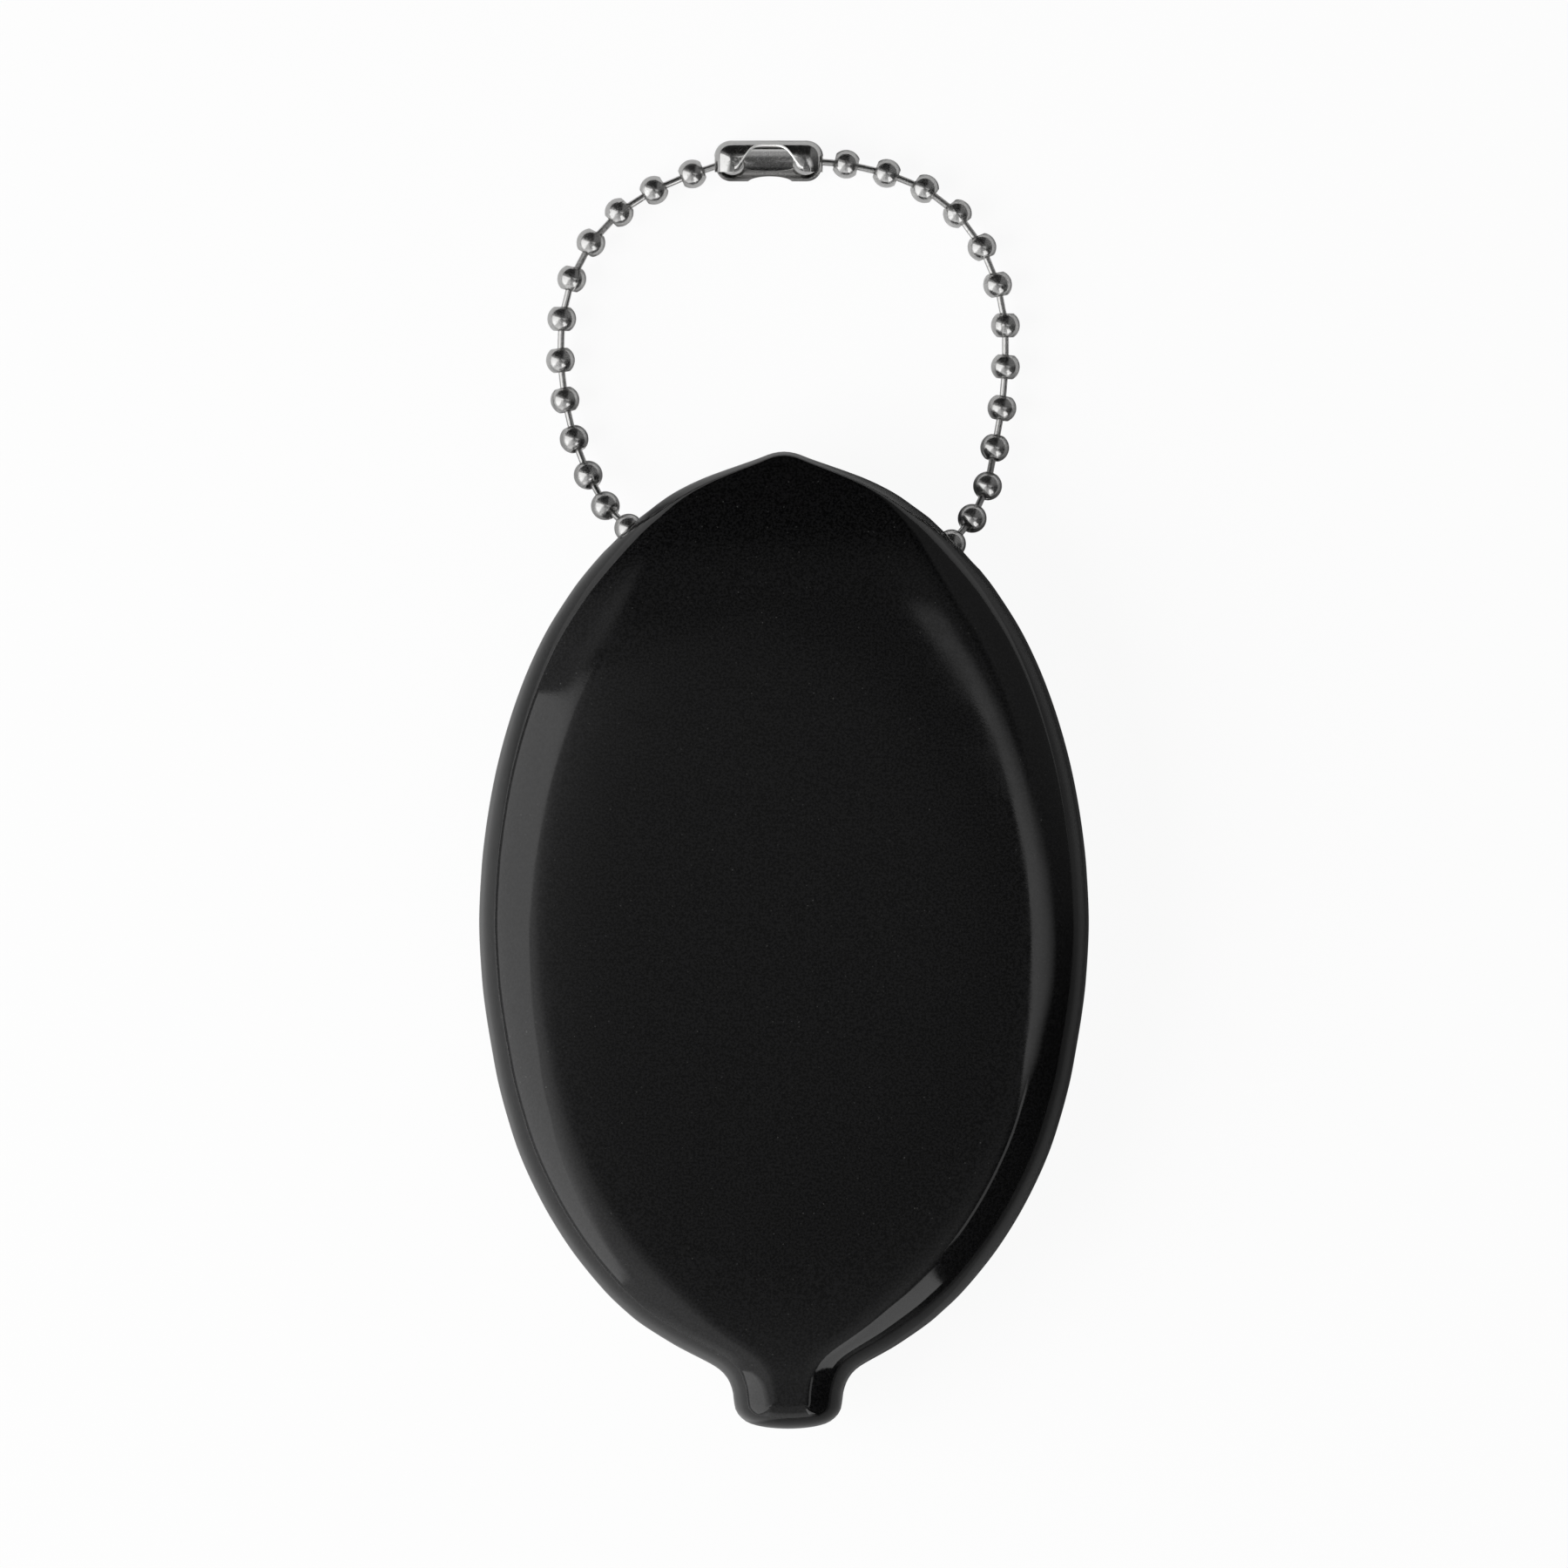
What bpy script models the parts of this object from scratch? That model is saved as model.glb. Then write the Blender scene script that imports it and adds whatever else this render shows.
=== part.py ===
"""Oval squeeze coin pouch on a loop of ball chain.

The pouch lies on its slit side. X runs to the right, Y towards the chain, Z up from the table.
All lengths are metres. Places read off the picture are pixel pairs. The pouch's width and
length turn them to metres, so the chain follows the pouch.
"""

import math

import bmesh
import bpy
from mathutils import Matrix, Vector

# Pouch moulding
POUCH_WIDTH = 0.0505
POUCH_LENGTH = 0.0809
POUCH_THICKNESS = 0.011
FACE_CROWN = 0.0004
WALL = 0.0018
RIM_DEPTH = 0.0050
NUB_RIM_DEPTH = 0.0024
NUB_THICKNESS = 0.0074
NUB_LEAN = 0.00034
LEAST_ROW_STEP = 0.00003
MIDDLE_CLAMP_SHARE = 0.12
RIM_ANGLE_SHARES = (0.22, 0.44, 0.64, 0.83, 1.0)
CAVITY_ANGLE_SHARES = (0.4, 0.72, 1.0)

# Slit and its two lips
SLIT_LENGTH = 0.050
LIP_WIDTH = 0.010
LIP_GAP = 0.0003
SLIT_GAP = 0.0005
SLIT_CENTRE_ROW = 1075
CUT_OVERRUN = 0.001

# Punched holes in the rim
HOLE_LENGTH = 0.0040
HOLE_HEIGHT = 0.0030
HOLE_ROUNDING = 0.0009

# Ball chain
BEAD_RADIUS = 0.0012
BEAD_WALL = 0.0002
BEAD_HOLE_RADIUS = 0.00056
HEM_HOLE_RADIUS = 0.00040
LINK_RADIUS = 0.00024
HEAD_RADIUS = 0.00060
HEAD_THICKNESS = 0.00025
HEAD_SETBACK = 0.00035
RUN_HEAD_RADIUS = 0.00052
INNER_BEADS = 7
BEAD_STEPS = 12
BEAD_BANDS = 5
BEAD_INNER_BANDS = 3
LINK_STEPS = 8
RUN_STEPS = 10
RUN_BANDS = 4
MOST_LINK_TILT = math.radians(14.0)

# Connector
CONNECTOR_LENGTH = 0.00905
CONNECTOR_WIDTH = 0.00347
CONNECTOR_THICKNESS = 0.00320
CONNECTOR_WALL = 0.00025
CONNECTOR_ROUNDING = 0.0010
CONNECTOR_SLIT = 0.0011
CONNECTOR_SLIT_TOP = 0.00045
CONNECTOR_FRONT_EDGE = 0.00090
CONNECTOR_NOTCH_WIDTH = 0.0038
CONNECTOR_NOTCH_HEIGHT = 0.00052
NOTCH_ROUNDING_SHARE = 0.9
ARCH_END_LAND = 0.001675
ARCH_TOP = 0.00133
ARCH_FOOT = 0.00050
ARCH_STEPS = 12
CONNECTOR_COLUMN = 882.5
CONNECTOR_ROW = 185.5
CAUGHT_BEAD_HEIGHT = 0.0015
CAUGHT_BEAD_ROW = 184.5
CAUGHT_BEAD_CLEARANCE = 0.00004
SEAM_WELD = 0.000001

# The pouch's size in pixels, and the pixel that lies over the origin
POUCH_WIDTH_PIXELS = 699
POUCH_LENGTH_PIXELS = 1118.5
CENTRE_COLUMN = 900
CENTRE_ROW = 900

# Half outline of the pouch, as (half width, row) in pixels from the tip to the end of the nub
OUTLINE_PIXELS = (
    (0, 519.5), (14, 521.5), (30, 527.5), (50, 534.5), (70, 541.5), (90, 549), (110, 558),
    (130, 569), (150, 583), (170, 598), (191, 617.5), (212, 640), (229, 660), (244, 680),
    (269.5, 720), (289.5, 760), (305.5, 800), (318.5, 840), (329, 880), (337, 920), (343, 960),
    (347, 1000), (349.5, 1060), (346.5, 1120), (342, 1160), (335.5, 1200), (328, 1240),
    (317.5, 1280), (304.5, 1320), (287, 1360), (265.5, 1400), (239, 1440), (206, 1480),
    (180, 1505), (161.5, 1520), (131, 1540), (113.5, 1550), (94.5, 1560), (81, 1568),
    (72.5, 1576), (67, 1585), (63.5, 1596), (62, 1608), (59.5, 1618), (52.5, 1626.5),
    (42, 1632.5), (24, 1636.5), (0, 1638),
)
NUB_BLEND_ROWS = (1500, 1590)

# The same half outline without the nub, which the hollow follows
HOLLOW_PIXELS = (
    (0, 519.5), (30, 527.5), (70, 541.5), (110, 558), (150, 583), (191, 617.5), (229, 660),
    (269.5, 720), (305.5, 800), (329, 880), (343, 960), (349.5, 1060), (342, 1160), (328, 1240),
    (304.5, 1320), (265.5, 1400), (206, 1480), (161.5, 1520), (113.5, 1550), (60, 1569),
    (0, 1578),
)

# Centres of the free beads from the pouch to the connector, in pixels
LEFT_BEAD_PIXELS = (
    (722, 607), (695, 581), (675, 545.5), (658.7, 504), (648.2, 459), (643, 413.5), (644.5, 366),
    (656, 320), (678, 278.5), (710.5, 243.7), (750.5, 218.2), (794.5, 199.5),
)
RIGHT_BEAD_PIXELS = (
    (1092, 625), (1116, 595.5), (1133.8, 558), (1142.2, 514), (1150.5, 468.4), (1154.5, 421),
    (1154.5, 373.4), (1145.5, 326.7), (1127.5, 283.5), (1099.3, 245.2), (1061.7, 216.5),
    (1018, 198.9), (971.5, 188.4),
)
# How far up from the table to the holes each of the first beads lies
BEAD_RISE_SHARES = (1.0, 0.558, 0.2035, 0.035)

ACROSS_PIXEL = POUCH_WIDTH / POUCH_WIDTH_PIXELS
ALONG_PIXEL = POUCH_LENGTH / POUCH_LENGTH_PIXELS
HOLE_HEIGHT_ON_RIM = POUCH_THICKNESS / 2

# Colour, roughness and metallic value of each material
FINISHES = {
    "pouch vinyl": ((0.012, 0.012, 0.013), 0.32, 0.0),
    "bead nickel": ((0.62, 0.62, 0.63), 0.16, 1.0),
    "link nickel": ((0.55, 0.55, 0.56), 0.2, 1.0),
    "connector nickel": ((0.58, 0.58, 0.59), 0.18, 1.0),
}


def on_plan(column, row, height):
    """A picture point as a place in the model, at a height above the table."""
    across = (column - CENTRE_COLUMN) * ACROSS_PIXEL
    along = (CENTRE_ROW - row) * ALONG_PIXEL
    return Vector((across, along, height))


def smooth(value, start, end):
    """A soft step from 0 at start to 1 at end."""
    share = min(max((value - start) / (end - start), 0), 1)
    return share * share * (3 - 2 * share)


def material(name):
    """One Principled material by its name in FINISHES."""
    found = bpy.data.materials.get(name)
    if found:
        return found
    colour, roughness, metallic = FINISHES[name]
    made = bpy.data.materials.new(name)
    made.use_nodes = True
    shader = made.node_tree.nodes["Principled BSDF"]
    shader.inputs["Base Color"].default_value = (*colour, 1)
    shader.inputs["Roughness"].default_value = roughness
    shader.inputs["Metallic"].default_value = metallic
    made.diffuse_color = (*colour, 1)
    return made


def collection(name):
    """A collection of the scene, made when it is missing."""
    found = bpy.data.collections.get(name)
    if found:
        return found
    made = bpy.data.collections.new(name)
    bpy.context.scene.collection.children.link(made)
    return made


def object_from(bm, name, finish=None, home="coin pouch"):
    """Turns a bmesh into an object of a collection."""
    bmesh.ops.recalc_face_normals(bm, faces=bm.faces)
    mesh = bpy.data.meshes.new(name)
    bm.to_mesh(mesh)
    bm.free()
    made = bpy.data.objects.new(name, mesh)
    collection(home).objects.link(made)
    if finish:
        mesh.materials.append(material(finish))
        mesh.shade_smooth()
        mesh.set_sharp_from_angle(angle=math.radians(40))
    return made


def hide_cutter(cutter):
    """Keeps a cutter out of the finished model."""
    cutter.hide_render = True
    cutter.display_type = "WIRE"


def box(name, size, centre, rounding=0, segments=2, finish=None, home="cutters"):
    """A box by its size and centre, with rounded edges."""
    bm = bmesh.new()
    bmesh.ops.create_cube(bm, size=1)
    bmesh.ops.scale(bm, vec=size, verts=bm.verts)
    made = object_from(bm, name, finish, home)
    made.location = centre
    if rounding:
        bevel = made.modifiers.new("rounding", "BEVEL")
        bevel.width = rounding
        bevel.segments = segments
        bevel.limit_method = "NONE"
    if home == "cutters":
        hide_cutter(made)
    return made


def cut(target, cutter):
    """Cuts one object with another."""
    boolean = target.modifiers.new("cut by " + cutter.name, "BOOLEAN")
    boolean.operation = "DIFFERENCE"
    boolean.solver = "EXACT"
    boolean.object = cutter


def turned(name, profile, steps, finish):
    """Turns a profile of (radius, height) pairs, top to bottom, about Z."""
    bm = bmesh.new()
    points = [bm.verts.new((radius, 0, height)) for radius, height in profile]
    for first, second in zip(points, points[1:]):
        if first.co.x or second.co.x:
            bm.edges.new((first, second))
    if profile[0][0]:
        bm.edges.new((points[-1], points[0]))
    mesh = bpy.data.meshes.new(name)
    bm.to_mesh(mesh)
    bm.free()
    made = bpy.data.objects.new(name, mesh)
    collection("coin pouch").objects.link(made)
    screw = made.modifiers.new("turn", "SCREW")
    screw.axis = "Z"
    screw.steps = steps
    screw.render_steps = steps
    screw.use_merge_vertices = True
    screw.merge_threshold = SEAM_WELD
    screw.use_smooth_shade = True
    mesh.materials.append(material(finish))
    return made


def outline(pixels):
    """The right half of a symmetric outline, as (x, y) from the tip down."""
    points = []
    for half, row in pixels:
        place = on_plan(CENTRE_COLUMN + half, row, 0)
        points.append((place.x, place.y))
    return points


def outward(points):
    """Unit normals of a half outline, pointing out."""
    normals = []
    last = len(points) - 1
    for i, (x, y) in enumerate(points):
        before = points[i - 1] if i else (-points[1][0], points[1][1])
        after = points[i + 1] if i < last else (-points[last - 1][0], points[last - 1][1])
        along = Vector((after[0] - before[0], after[1] - before[1]))
        normals.append(Vector((-along.y, along.x)).normalized())
    return normals


def ring(points, normals, insets, heights):
    """The right half of one level of a pillow: the outline drawn in by the insets."""
    made = []
    for (x, y), normal, inset, height in zip(points, normals, insets, heights):
        across = max(x * MIDDLE_CLAMP_SHARE, x - inset * normal.x)
        along = y - inset * normal.y
        if made:
            along = min(along, made[-1].y - LEAST_ROW_STEP)
        made.append(Vector((across, along, height)))
    return made


def pillow(name, points, levels, crown, finish=None, home="coin pouch"):
    """Skins half rings, listed from the bottom up, and closes both ends across the middle."""
    bm = bmesh.new()
    last = len(points) - 1
    widest = max(x for x, y in points)
    loops = []
    for level in levels:
        right = [bm.verts.new(place) for place in level]
        left = [bm.verts.new((-p.x, p.y, p.z)) for p in level[1:last]]
        loops.append(right + left[::-1])
    count = len(loops[0])
    for lower, upper in zip(loops, loops[1:]):
        for i in range(count):
            j = (i + 1) % count
            bm.faces.new((lower[i], lower[j], upper[j], upper[i]))
    for loop, rise in ((loops[0], 0), (loops[-1], crown)):
        middle = [loop[0]]
        for i in range(1, last):
            here = loop[i].co
            share = smooth(here.x, 0, widest - RIM_DEPTH)
            middle.append(bm.verts.new((0, here.y, here.z + rise * share)))
        middle.append(loop[last])
        for i in range(last):
            for side in (1, -1):
                corners = [middle[i], loop[side * i], loop[side * (i + 1)], middle[i + 1]]
                face = list(dict.fromkeys(corners))
                bm.faces.new(face)
    return object_from(bm, name, finish, home)


def rim_levels(points, depth, below, above, angles, start=0):
    """Rings of a rounded rim, from the flat underside up to the face."""
    normals = outward(points)
    level_list = []
    signed = [-share for share in reversed(angles)] + [0] + list(angles)
    for share in signed:
        angle = share * math.pi / 2
        insets = [start + d * (1 - math.cos(angle)) for d in depth]
        reach = below if share < 0 else above
        heights = [HOLE_HEIGHT_ON_RIM + r * math.sin(angle) for r in reach]
        level_list.append(ring(points, normals, insets, heights))
    return level_list


def make_pouch():
    """The one-piece moulding: an oval pillow with a nub, hollow, slit side down."""
    points = outline(OUTLINE_PIXELS)
    nub = [smooth(row, *NUB_BLEND_ROWS) for half, row in OUTLINE_PIXELS]
    depth = [RIM_DEPTH + (NUB_RIM_DEPTH - RIM_DEPTH) * share for share in nub]
    body_half = POUCH_THICKNESS / 2
    nub_half = NUB_THICKNESS / 2
    below = [body_half + (nub_half - body_half) * share for share in nub]
    above = [body_half - FACE_CROWN * (1 - share) - (body_half - nub_half) * share for share in nub]
    levels = rim_levels(points, depth, below, above, RIM_ANGLE_SHARES)
    shell = pillow("pouch_shell", points, levels, FACE_CROWN, "pouch vinyl")
    for vertex in shell.data.vertices:
        row = CENTRE_ROW - vertex.co.y / ALONG_PIXEL
        vertex.co.x += NUB_LEAN * smooth(row, *NUB_BLEND_ROWS)

    inner = outline(HOLLOW_PIXELS)
    inner_depth = [RIM_DEPTH - WALL] * len(inner)
    inner_below = [body_half - WALL] * len(inner)
    inner_above = [body_half - WALL - FACE_CROWN] * len(inner)
    levels = rim_levels(inner, inner_depth, inner_below, inner_above, CAVITY_ANGLE_SHARES, WALL)
    hollow = pillow("hollow_cutter", inner, levels, FACE_CROWN, None, "cutters")
    hide_cutter(hollow)
    cut(shell, hollow)

    window_size = (2 * LIP_WIDTH, SLIT_LENGTH, WALL + 2 * CUT_OVERRUN)
    window = box("window_cutter", window_size, on_plan(CENTRE_COLUMN, SLIT_CENTRE_ROW, WALL / 2))
    cut(shell, window)

    left = chain_places()[0][0]
    right = chain_places()[1][0]
    span = right - left
    reach = HOLE_LENGTH + CUT_OVERRUN
    hole_size = (span.length + 2 * reach, HOLE_LENGTH, HOLE_HEIGHT)
    holes = box("rim_hole_cutter", hole_size, (left + right) / 2, HOLE_ROUNDING)
    holes.rotation_euler = (0, 0, math.atan2(span.y, span.x))
    cut(shell, holes)
    return shell


def make_lip(name, side, parent):
    """One lip of the slit: a flap of the underside, hung on its outer edge."""
    width = LIP_WIDTH - LIP_GAP - SLIT_GAP / 2
    size = (width, SLIT_LENGTH - 2 * LIP_GAP, WALL)
    bm = bmesh.new()
    bmesh.ops.create_cube(bm, size=1)
    bmesh.ops.scale(bm, vec=size, verts=bm.verts)
    offset = (-side * (LIP_GAP + width / 2), 0, WALL / 2)
    bmesh.ops.translate(bm, vec=offset, verts=bm.verts)
    made = object_from(bm, name, "pouch vinyl")
    place_in(made, parent, Matrix.Translation(parent.matrix_world.translation))
    return made


def chain_places():
    """Centres of the left and right beads, from the pouch up to the connector."""
    low = BEAD_RADIUS
    high = HOLE_HEIGHT_ON_RIM
    caught = on_plan(CONNECTOR_COLUMN, CAUGHT_BEAD_ROW, CAUGHT_BEAD_HEIGHT)
    reach = CONNECTOR_LENGTH / 2 - CONNECTOR_WALL - CAUGHT_BEAD_CLEARANCE - BEAD_RADIUS
    sides = []
    for pixels, side in ((LEFT_BEAD_PIXELS, -1), (RIGHT_BEAD_PIXELS, 1)):
        places = []
        for i, (column, row) in enumerate(pixels):
            share = BEAD_RISE_SHARES[i] if i < len(BEAD_RISE_SHARES) else 0
            places.append(on_plan(column, row, low + (high - low) * share))
        places.append(caught + Vector((side * reach, 0, 0)))
        sides.append(places)
    return sides


def facing(direction, place):
    """A transform that lays local Z along a direction, at a place."""
    turn = Vector((0, 0, 1)).rotation_difference(direction)
    return Matrix.Translation(place) @ turn.to_matrix().to_4x4()


def place_in(made, parent, world):
    """Sets an object's world transform under a parent."""
    made.parent = parent
    made.matrix_parent_inverse = parent.matrix_world.inverted()
    made.matrix_basis = world


def pivot(name, first, second, parent):
    """An empty on a joint's axis, with its X along the axis."""
    made = bpy.data.objects.new(name, None)
    made.empty_display_size = BEAD_RADIUS * 2
    collection("coin pouch").objects.link(made)
    axis = (second - first).normalized()
    turn = Vector((1, 0, 0)).rotation_difference(axis)
    world = Matrix.Translation(first) @ turn.to_matrix().to_4x4()
    if parent:
        place_in(made, parent, world)
    else:
        made.matrix_basis = world
    bpy.context.view_layer.update()
    return made


def bead_profile():
    """The section of a hollow bead: outer skin down, inner skin back up."""
    inner = BEAD_RADIUS - BEAD_WALL
    start = math.asin(BEAD_HOLE_RADIUS / BEAD_RADIUS)
    end = math.pi - start
    inner_start = math.asin(BEAD_HOLE_RADIUS / inner)
    inner_end = math.pi - inner_start
    points = []
    for i in range(BEAD_BANDS + 1):
        angle = start + (end - start) * i / BEAD_BANDS
        points.append((BEAD_RADIUS * math.sin(angle), BEAD_RADIUS * math.cos(angle)))
    for i in range(BEAD_INNER_BANDS + 1):
        angle = inner_end - (inner_end - inner_start) * i / BEAD_INNER_BANDS
        points.append((inner * math.sin(angle), inner * math.cos(angle)))
    return points


def hem_bead_profile():
    """The section of a rim bead, open along its axis on one side only."""
    inner = BEAD_RADIUS - BEAD_WALL
    start = math.asin(HEM_HOLE_RADIUS / BEAD_RADIUS)
    inner_start = math.asin(HEM_HOLE_RADIUS / inner)
    points = []
    for i in range(BEAD_BANDS + 1):
        angle = start + (math.pi - start) * i / BEAD_BANDS
        radius = BEAD_RADIUS * math.sin(angle) if i < BEAD_BANDS else 0
        points.append((radius, BEAD_RADIUS * math.cos(angle)))
    for i in range(BEAD_INNER_BANDS + 2):
        angle = math.pi - (math.pi - inner_start) * i / (BEAD_INNER_BANDS + 1)
        radius = inner * math.sin(angle) if i else 0
        points.append((radius, inner * math.cos(angle)))
    return points


def make_bead(name, place, lower, upper, parent):
    """A hollow bead, its holes lined up with the link below and open to the link above."""
    bend = lower.angle(upper)
    direction = lower.copy()
    if bend > MOST_LINK_TILT:
        turn = Matrix.Rotation(bend - MOST_LINK_TILT, 3, lower.cross(upper))
        direction = turn @ lower
    made = turned(name, bead_profile(), BEAD_STEPS, "bead nickel")
    place_in(made, parent, facing(direction, place))
    return made


def make_hem_bead(name, place, inward, upper, parent):
    """The bead in a rim hole, which the chain enters from inside and leaves at an angle."""
    made = turned(name, hem_bead_profile(), BEAD_STEPS, "bead nickel")
    place_in(made, parent, facing(inward, place))

    bm = bmesh.new()
    bmesh.ops.create_cone(
        bm, cap_ends=True, segments=LINK_STEPS, radius1=HEM_HOLE_RADIUS,
        radius2=HEM_HOLE_RADIUS, depth=BEAD_RADIUS,
    )
    bmesh.ops.translate(bm, vec=(0, 0, BEAD_RADIUS), verts=bm.verts)
    cutter = object_from(bm, name + "_cutter", None, "cutters")
    hide_cutter(cutter)
    place_in(cutter, parent, facing(upper, place))
    cut(made, cutter)
    return made


def make_link(name, start, end, parent):
    """A dumbbell link between two bead centres, with a flat head inside each bead."""
    half = (end - start).length / 2 - HEAD_SETBACK
    neck = half - HEAD_THICKNESS
    profile = [
        (0, half), (HEAD_RADIUS, half), (HEAD_RADIUS, neck), (LINK_RADIUS, neck),
        (LINK_RADIUS, -neck), (HEAD_RADIUS, -neck), (HEAD_RADIUS, -half), (0, -half),
    ]
    made = turned(name, profile, LINK_STEPS, "link nickel")
    place_in(made, parent, facing((end - start).normalized(), (start + end) / 2))
    return made


def make_inner_run(name, start, end, parent):
    """The stretch of chain inside the pouch, from one rim bead to the other, in one solid."""
    span = (end - start).length
    pitch = span / (INNER_BEADS + 1)
    tip = span / 2 - HEAD_SETBACK
    neck = tip - HEAD_THICKNESS
    profile = [(0, tip), (RUN_HEAD_RADIUS, tip), (RUN_HEAD_RADIUS, neck), (LINK_RADIUS, neck)]
    edge = math.asin(LINK_RADIUS / BEAD_RADIUS)
    for k in range(INNER_BEADS):
        middle = span / 2 - pitch * (k + 1)
        for i in range(RUN_BANDS + 1):
            angle = edge + (math.pi - 2 * edge) * i / RUN_BANDS
            profile.append((BEAD_RADIUS * math.sin(angle), middle + BEAD_RADIUS * math.cos(angle)))
    profile += [(LINK_RADIUS, -neck), (RUN_HEAD_RADIUS, -neck), (RUN_HEAD_RADIUS, -tip), (0, -tip)]
    made = turned(name, profile, RUN_STEPS, "bead nickel")
    place_in(made, parent, facing((end - start).normalized(), (start + end) / 2))
    return made


def make_arch_cutter(centre):
    """The arched opening in the connector's front sheet."""
    bm = bmesh.new()
    half_width = CONNECTOR_LENGTH / 2 - ARCH_END_LAND
    points = [(half_width, -CONNECTOR_WIDTH)]
    for i in range(ARCH_STEPS + 1):
        share = i / ARCH_STEPS
        across = half_width * (1 - 2 * share)
        rise = (1 + math.cos(math.pi * across / half_width)) / 2
        points.append((across, -ARCH_FOOT + (ARCH_TOP + ARCH_FOOT) * rise ** (2 / 3)))
    points.append((-half_width, -CONNECTOR_WIDTH))
    corners = [bm.verts.new((x, y, 0)) for x, y in points]
    sheet = bm.faces.new(corners)
    raised = bmesh.ops.extrude_face_region(bm, geom=[sheet])
    tops = [item for item in raised["geom"] if isinstance(item, bmesh.types.BMVert)]
    bmesh.ops.translate(bm, vec=(0, 0, CONNECTOR_THICKNESS), verts=tops)
    cutter = object_from(bm, "arch_cutter", None, "cutters")
    cutter.location = centre
    hide_cutter(cutter)
    return cutter


def make_connector(parent):
    """The pressed sheet clip that holds the chain's two end beads."""
    centre = on_plan(CONNECTOR_COLUMN, CONNECTOR_ROW, CONNECTOR_THICKNESS / 2)
    size = Vector((CONNECTOR_LENGTH, CONNECTOR_WIDTH, CONNECTOR_THICKNESS))
    clip = box("chain_connector", size, centre, CONNECTOR_ROUNDING, 3, "connector nickel",
               "coin pouch")
    wall = Vector((CONNECTOR_WALL, CONNECTOR_WALL, CONNECTOR_WALL)) * 2
    inside = box("clip_hollow_cutter", size - wall, centre, CONNECTOR_ROUNDING - CONNECTOR_WALL, 2)
    cut(clip, inside)
    cut(clip, make_arch_cutter(centre))

    slit_height = CONNECTOR_WIDTH / 2 + CONNECTOR_SLIT_TOP + CUT_OVERRUN
    slit_size = (CONNECTOR_LENGTH + 2 * CUT_OVERRUN, slit_height, CONNECTOR_SLIT)
    slit_centre = Vector((centre.x, centre.y + CONNECTOR_SLIT_TOP - slit_height / 2,
                          CAUGHT_BEAD_HEIGHT))
    cut(clip, box("clip_slit_cutter", slit_size, slit_centre))

    front_height = CONNECTOR_WIDTH / 2 - CONNECTOR_FRONT_EDGE + CUT_OVERRUN
    front_depth = CONNECTOR_THICKNESS / 2 + CUT_OVERRUN
    front_size = (CONNECTOR_LENGTH + 2 * CUT_OVERRUN, front_height, front_depth)
    front_centre = Vector((centre.x, centre.y - CONNECTOR_FRONT_EDGE - front_height / 2,
                           CAUGHT_BEAD_HEIGHT + front_depth / 2))
    cut(clip, box("clip_front_cutter", front_size, front_centre))

    notch_size = (CONNECTOR_NOTCH_WIDTH, 2 * CONNECTOR_NOTCH_HEIGHT, CONNECTOR_THICKNESS)
    notch_centre = Vector((centre.x, centre.y - CONNECTOR_WIDTH / 2, centre.z))
    notch_rounding = CONNECTOR_NOTCH_HEIGHT * NOTCH_ROUNDING_SHARE
    cut(clip, box("clip_notch_cutter", notch_size, notch_centre, notch_rounding, 3))
    bpy.context.view_layer.update()
    place_in(clip, parent, Matrix.Translation(centre))
    return clip


def make_chain():
    """Beads and links, hung one band after another on pivots from the rim holes up."""
    left, right = chain_places()
    parent = None
    for k in range(len(left)):
        hinge = pivot("chain_pivot_%02d" % (k + 1), left[k], right[k], parent)
        axis = (right[k] - left[k]).normalized()
        last = k == len(left) - 1
        ends = ((left, "left", axis), (right, "right", -axis))
        for places, side, inward in ends:
            more = k + 1 < len(places)
            upper = (places[k + 1] - places[k]).normalized() if more else None
            name = "bead_%s_%02d" % (side, k + 1)
            if k == 0:
                make_hem_bead(name, places[k], inward, upper, hinge)
            else:
                lower = (places[k] - places[k - 1]).normalized()
                make_bead(name, places[k], lower, upper or lower, hinge)
            if more:
                make_link("link_%s_%02d" % (side, k + 1), places[k], places[k + 1], hinge)
        if k == 0:
            make_inner_run("chain_inner_run", left[0], right[0], hinge)
        if last:
            lower = (right[k + 1] - right[k]).normalized()
            make_bead("bead_right_%02d" % (k + 2), right[k + 1], lower, lower, hinge)
            make_connector(hinge)
        parent = hinge


def main():
    """Clears the scene and models the coin pouch."""
    for old in list(bpy.data.objects):
        bpy.data.objects.remove(old, do_unlink=True)
    make_pouch()
    slit_start = on_plan(CENTRE_COLUMN, SLIT_CENTRE_ROW, 0)
    for name, side in (("lip_left", -1), ("lip_right", 1)):
        place = slit_start + Vector((side * LIP_WIDTH, 0, 0))
        hinge = pivot(name + "_pivot", place, place + Vector((0, SLIT_LENGTH, 0)), None)
        make_lip(name, side, hinge)
    make_chain()


main()
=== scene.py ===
"""An oval squeeze coin pouch on a loop of ball chain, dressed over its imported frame.

All lengths are metres. X runs to the right, Y towards the chain, Z up from the table.
"""

import logging
import math
from contextlib import contextmanager
from dataclasses import dataclass, field
from enum import Enum
from typing import Callable, Iterator

import bmesh
import bpy
import numpy as np
from mathutils import Matrix, Vector

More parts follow.
